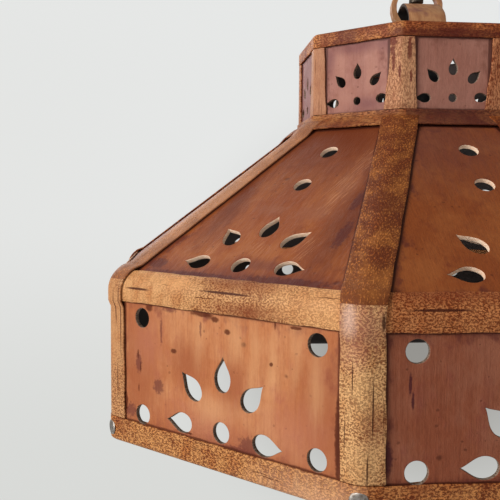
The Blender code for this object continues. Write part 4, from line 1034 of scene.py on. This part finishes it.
for y, height in [(-y, height) for y, height in reversed(half)] + half[1:]:
    rows.append([Vector((x + y * 0.19, y, height)) for x in (-0.0115, -0.0060, 0.0, 0.0050, 0.0100)])
strap = strip_sheet("bow_strap", rows, 0.0018, 0.0003)
bpy.ops.object.select_all(action="DESELECT")
bpy.ops.mesh.primitive_cylinder_add(vertices=32, radius=0.0032, depth=0.02, location=(0, 0, BOW_TOP))
awl = bpy.context.object
hole = strap.modifiers.new("hole", "BOOLEAN")
hole.object = awl
bpy.context.view_layer.objects.active = strap
bpy.ops.object.modifier_apply(modifier="hole")
bpy.data.objects.remove(awl)
for material in (wood_bent, bow_edge, bark_inside_painted_shadow):
    strap.data.materials.append(material)
# Side edges get the dark edge material; faces turned in under the bow get the near-black painted shadow.
for polygon in strap.data.polygons:
    outward = Vector((0, polygon.center.y, polygon.center.z - RIM))
    if abs(polygon.normal.x) > 0.8:
        polygon.material_index = 1
    elif polygon.normal.dot(outward) < 0:
        polygon.material_index = 2
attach(strap, "shade")
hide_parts("bow_handle")
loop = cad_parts["hanging_loop"]
loop.data.materials.clear()
loop.data.materials.append(wood_bent)


# The clamp on the cord, the screws and the lampholder's metal are brass. The holder's cap
# and shell are black moulded plastic over a porcelain body, and the ceiling cup over the
# hook is dark brown. These three are turned smooth.
def moulded(name, colour, worn, rough):
    """Smooth moulded or glazed stuff."""
    return worn_material(name, colour, worn, rough, 260.0, 4.0, (0.45, 0.75), 0.00008)


black_plastic = moulded("moulded_black", (0.018, 0.018, 0.018), (0.04, 0.038, 0.036), 0.35)
porcelain = moulded("porcelain", (0.74, 0.72, 0.67), (0.60, 0.57, 0.50), 0.25)
nylon = moulded("nylon", (0.66, 0.64, 0.58), (0.55, 0.52, 0.45), 0.45)
cup_brown = moulded("cup_brown", (0.03, 0.02, 0.016), (0.055, 0.04, 0.032), 0.38)
for material, nodes in ((brass, ("screw_sleeve", "centre_contact", "cup_screw")),
                        (aged_brass, ("cord_lock", "lock_screw")),
                        (porcelain, ("holder_insert",)), (nylon, ("cord_grip", "cord_hanger")),
                        (nickel, ("ceiling_hook",))):
    for node in nodes:
        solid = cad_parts[node]
        solid.data.materials.clear()
        solid.data.materials.append(material)
cap_side = [(0.0028, -0.1199), (0.0072, -0.1199), (0.0083, -0.1204), (0.0085, -0.1214), (0.0085, -0.1252),
            (0.0094, -0.1266), (0.0150, -0.1292), (0.0182, -0.1314), (0.0195, -0.1338), (0.0198, -0.1360),
            (0.0198, -0.1458), (0.0180, -0.1458), (0.0180, -0.1345), (0.0140, -0.1312), (0.0076, -0.1275),
            (0.0076, -0.1217), (0.0028, -0.1217), (0.0028, -0.1199)]
turned_piece("holder_cap_turned", cap_side, 64, black_plastic, "hanging", "holder_cap")
shell_side = [(0.0198, -0.1463), (0.0198, -0.1790), (0.0194, -0.1803), (0.0184, -0.1811), (0.0158, -0.1811),
              (0.0152, -0.1806), (0.0152, -0.1623), (0.0162, -0.1623), (0.0162, -0.1605), (0.0180, -0.1605),
              (0.0180, -0.1463), (0.0198, -0.1463)]
turned_piece("holder_shell_turned", shell_side, 64, black_plastic,
             "hanging", "holder_shell")
CUP_R, CUP_WALL, CUP_NECK_R = 0.0440, 0.0020, 0.0085
dome = []
for step in range(21):
    angle = pi / 2 * step / 20
    dome.append((CUP_NECK_R + (CUP_R - CUP_NECK_R) * sin(angle), -0.0478 + 0.0376 * (1 - cos(angle))))
cup_side = [(0.0028, -0.0568), (0.0079, -0.0568), (CUP_NECK_R, -0.0562)] + dome
cup_side += [(CUP_R, -0.0012), (0.0436, -0.0008), (CUP_R - CUP_WALL, -0.0008)]
for out, height in reversed(dome[1:]):
    cup_side.append((out - CUP_WALL * out / CUP_R, height + CUP_WALL * (1 - out / CUP_R)))
cup_side += [(0.0028, -0.0458), (0.0028, -0.0568)]
turned_piece("cup_turned", cup_side, 96, cup_brown, "cup", "ceiling_cup")


# Studio: a pale floor that turns up into a backdrop, darker towards the floor and with a
# painted shadow of the lamp on it, a large soft light from the left front, a weaker one
# from the right, and an even pale surround.
FLOOR = -1.25
pale_backdrop, tree, shader = new_material("pale_backdrop")
feed(tree, shader.inputs, Base_Color=(0.78, 0.79, 0.79), Roughness=0.9)
place = put(tree, "TexCoord").outputs["Object"]
cloud = spread(tree, noise_at(tree, 0.35, 1.0), 0.3, 0.7)
tint = blended(tree, cloud, (0.77, 0.778, 0.765), (0.800, 0.812, 0.805))
# The backdrop's colour grows darker towards the floor.
height = put(tree, "SeparateXYZ", Vector=place).outputs[2]
tint = blended(tree, spread(tree, height, -0.25, FLOOR), tint, (0.69, 0.700, 0.68))
# Painted shadow: a soft dark patch on the backdrop behind the lamp, low and to its right.
far = vectors(tree, "LENGTH", vectors(tree, "SUBTRACT", place, (0.75, 2.4, -0.72)))
tint = blended(tree, spread(tree, far, 1.05, 0.10), tint, (0.30, 0.29, 0.27))
glow = put(tree, "Emission", Strength=1.0, Color=tint).outputs[0]
seen = put(tree, "LightPath").outputs
any_seen = maths(tree, "MAXIMUM", seen["Is Camera Ray"], seen["Is Transmission Ray"])
mix = put(tree, "MixShader")
for socket, value in zip(mix.inputs, (any_seen, shader.outputs[0], glow)):
    tree.links.new(value, socket)
tree.links.new(mix.outputs[0], tree.nodes["Material Output"].inputs["Surface"])

sweep = [(-3.0, FLOOR), (1.6, FLOOR)]
for step in range(1, 9):
    angle = pi / 2 * step / 8
    sweep.append((1.6 + 0.9 * sin(angle), FLOOR + 0.9 - 0.9 * cos(angle)))
sweep.append((2.5, 2.6))
points = [(x, y, z) for y, z in sweep for x in (-3.5, 3.5)]
faces = [(2 * i, 2 * i + 1, 2 * i + 3, 2 * i + 2) for i in range(len(sweep) - 1)]
mesh = bpy.data.meshes.new("backdrop")
mesh.from_pydata(points, [], faces)
mesh.materials.append(pale_backdrop)
mesh.shade_smooth()
added("backdrop", mesh)

for name, spot, power, size, colour in (
        ("key_light", (-2.0, -0.95, 0.65), 50.0, 1.2, (1.0, 0.985, 0.96)),
        ("fill_light", (1.0, -1.7, 0.1), 2.5, 1.4, (1.0, 0.97, 0.94)),
        ("back_light", (-0.8, 1.6, 0.6), 8.0, 1.2, (0.98, 0.99, 1.0))):
    lamp_data = bpy.data.lights.new(name, "AREA")
    lamp_data.energy = power
    lamp_data.size = size
    lamp_data.color = colour
    lamp = added(name, lamp_data)
    lamp.location = spot
    lamp.rotation_euler = (Vector((0, 0, -0.22)) - Vector(spot)).to_track_quat("-Z", "Y").to_euler()

world = bpy.data.worlds.new("surround")
world.use_nodes = True
world.node_tree.nodes["Background"].inputs["Color"].default_value = (0.84, 0.83, 0.82, 1.0)
world.node_tree.nodes["Background"].inputs["Strength"].default_value = 0.28
bpy.context.scene.world = world
bpy.context.scene.view_settings.view_transform = "Standard"


def plain(bounds):
    return [[float(number) for number in corner] for corner in bounds]
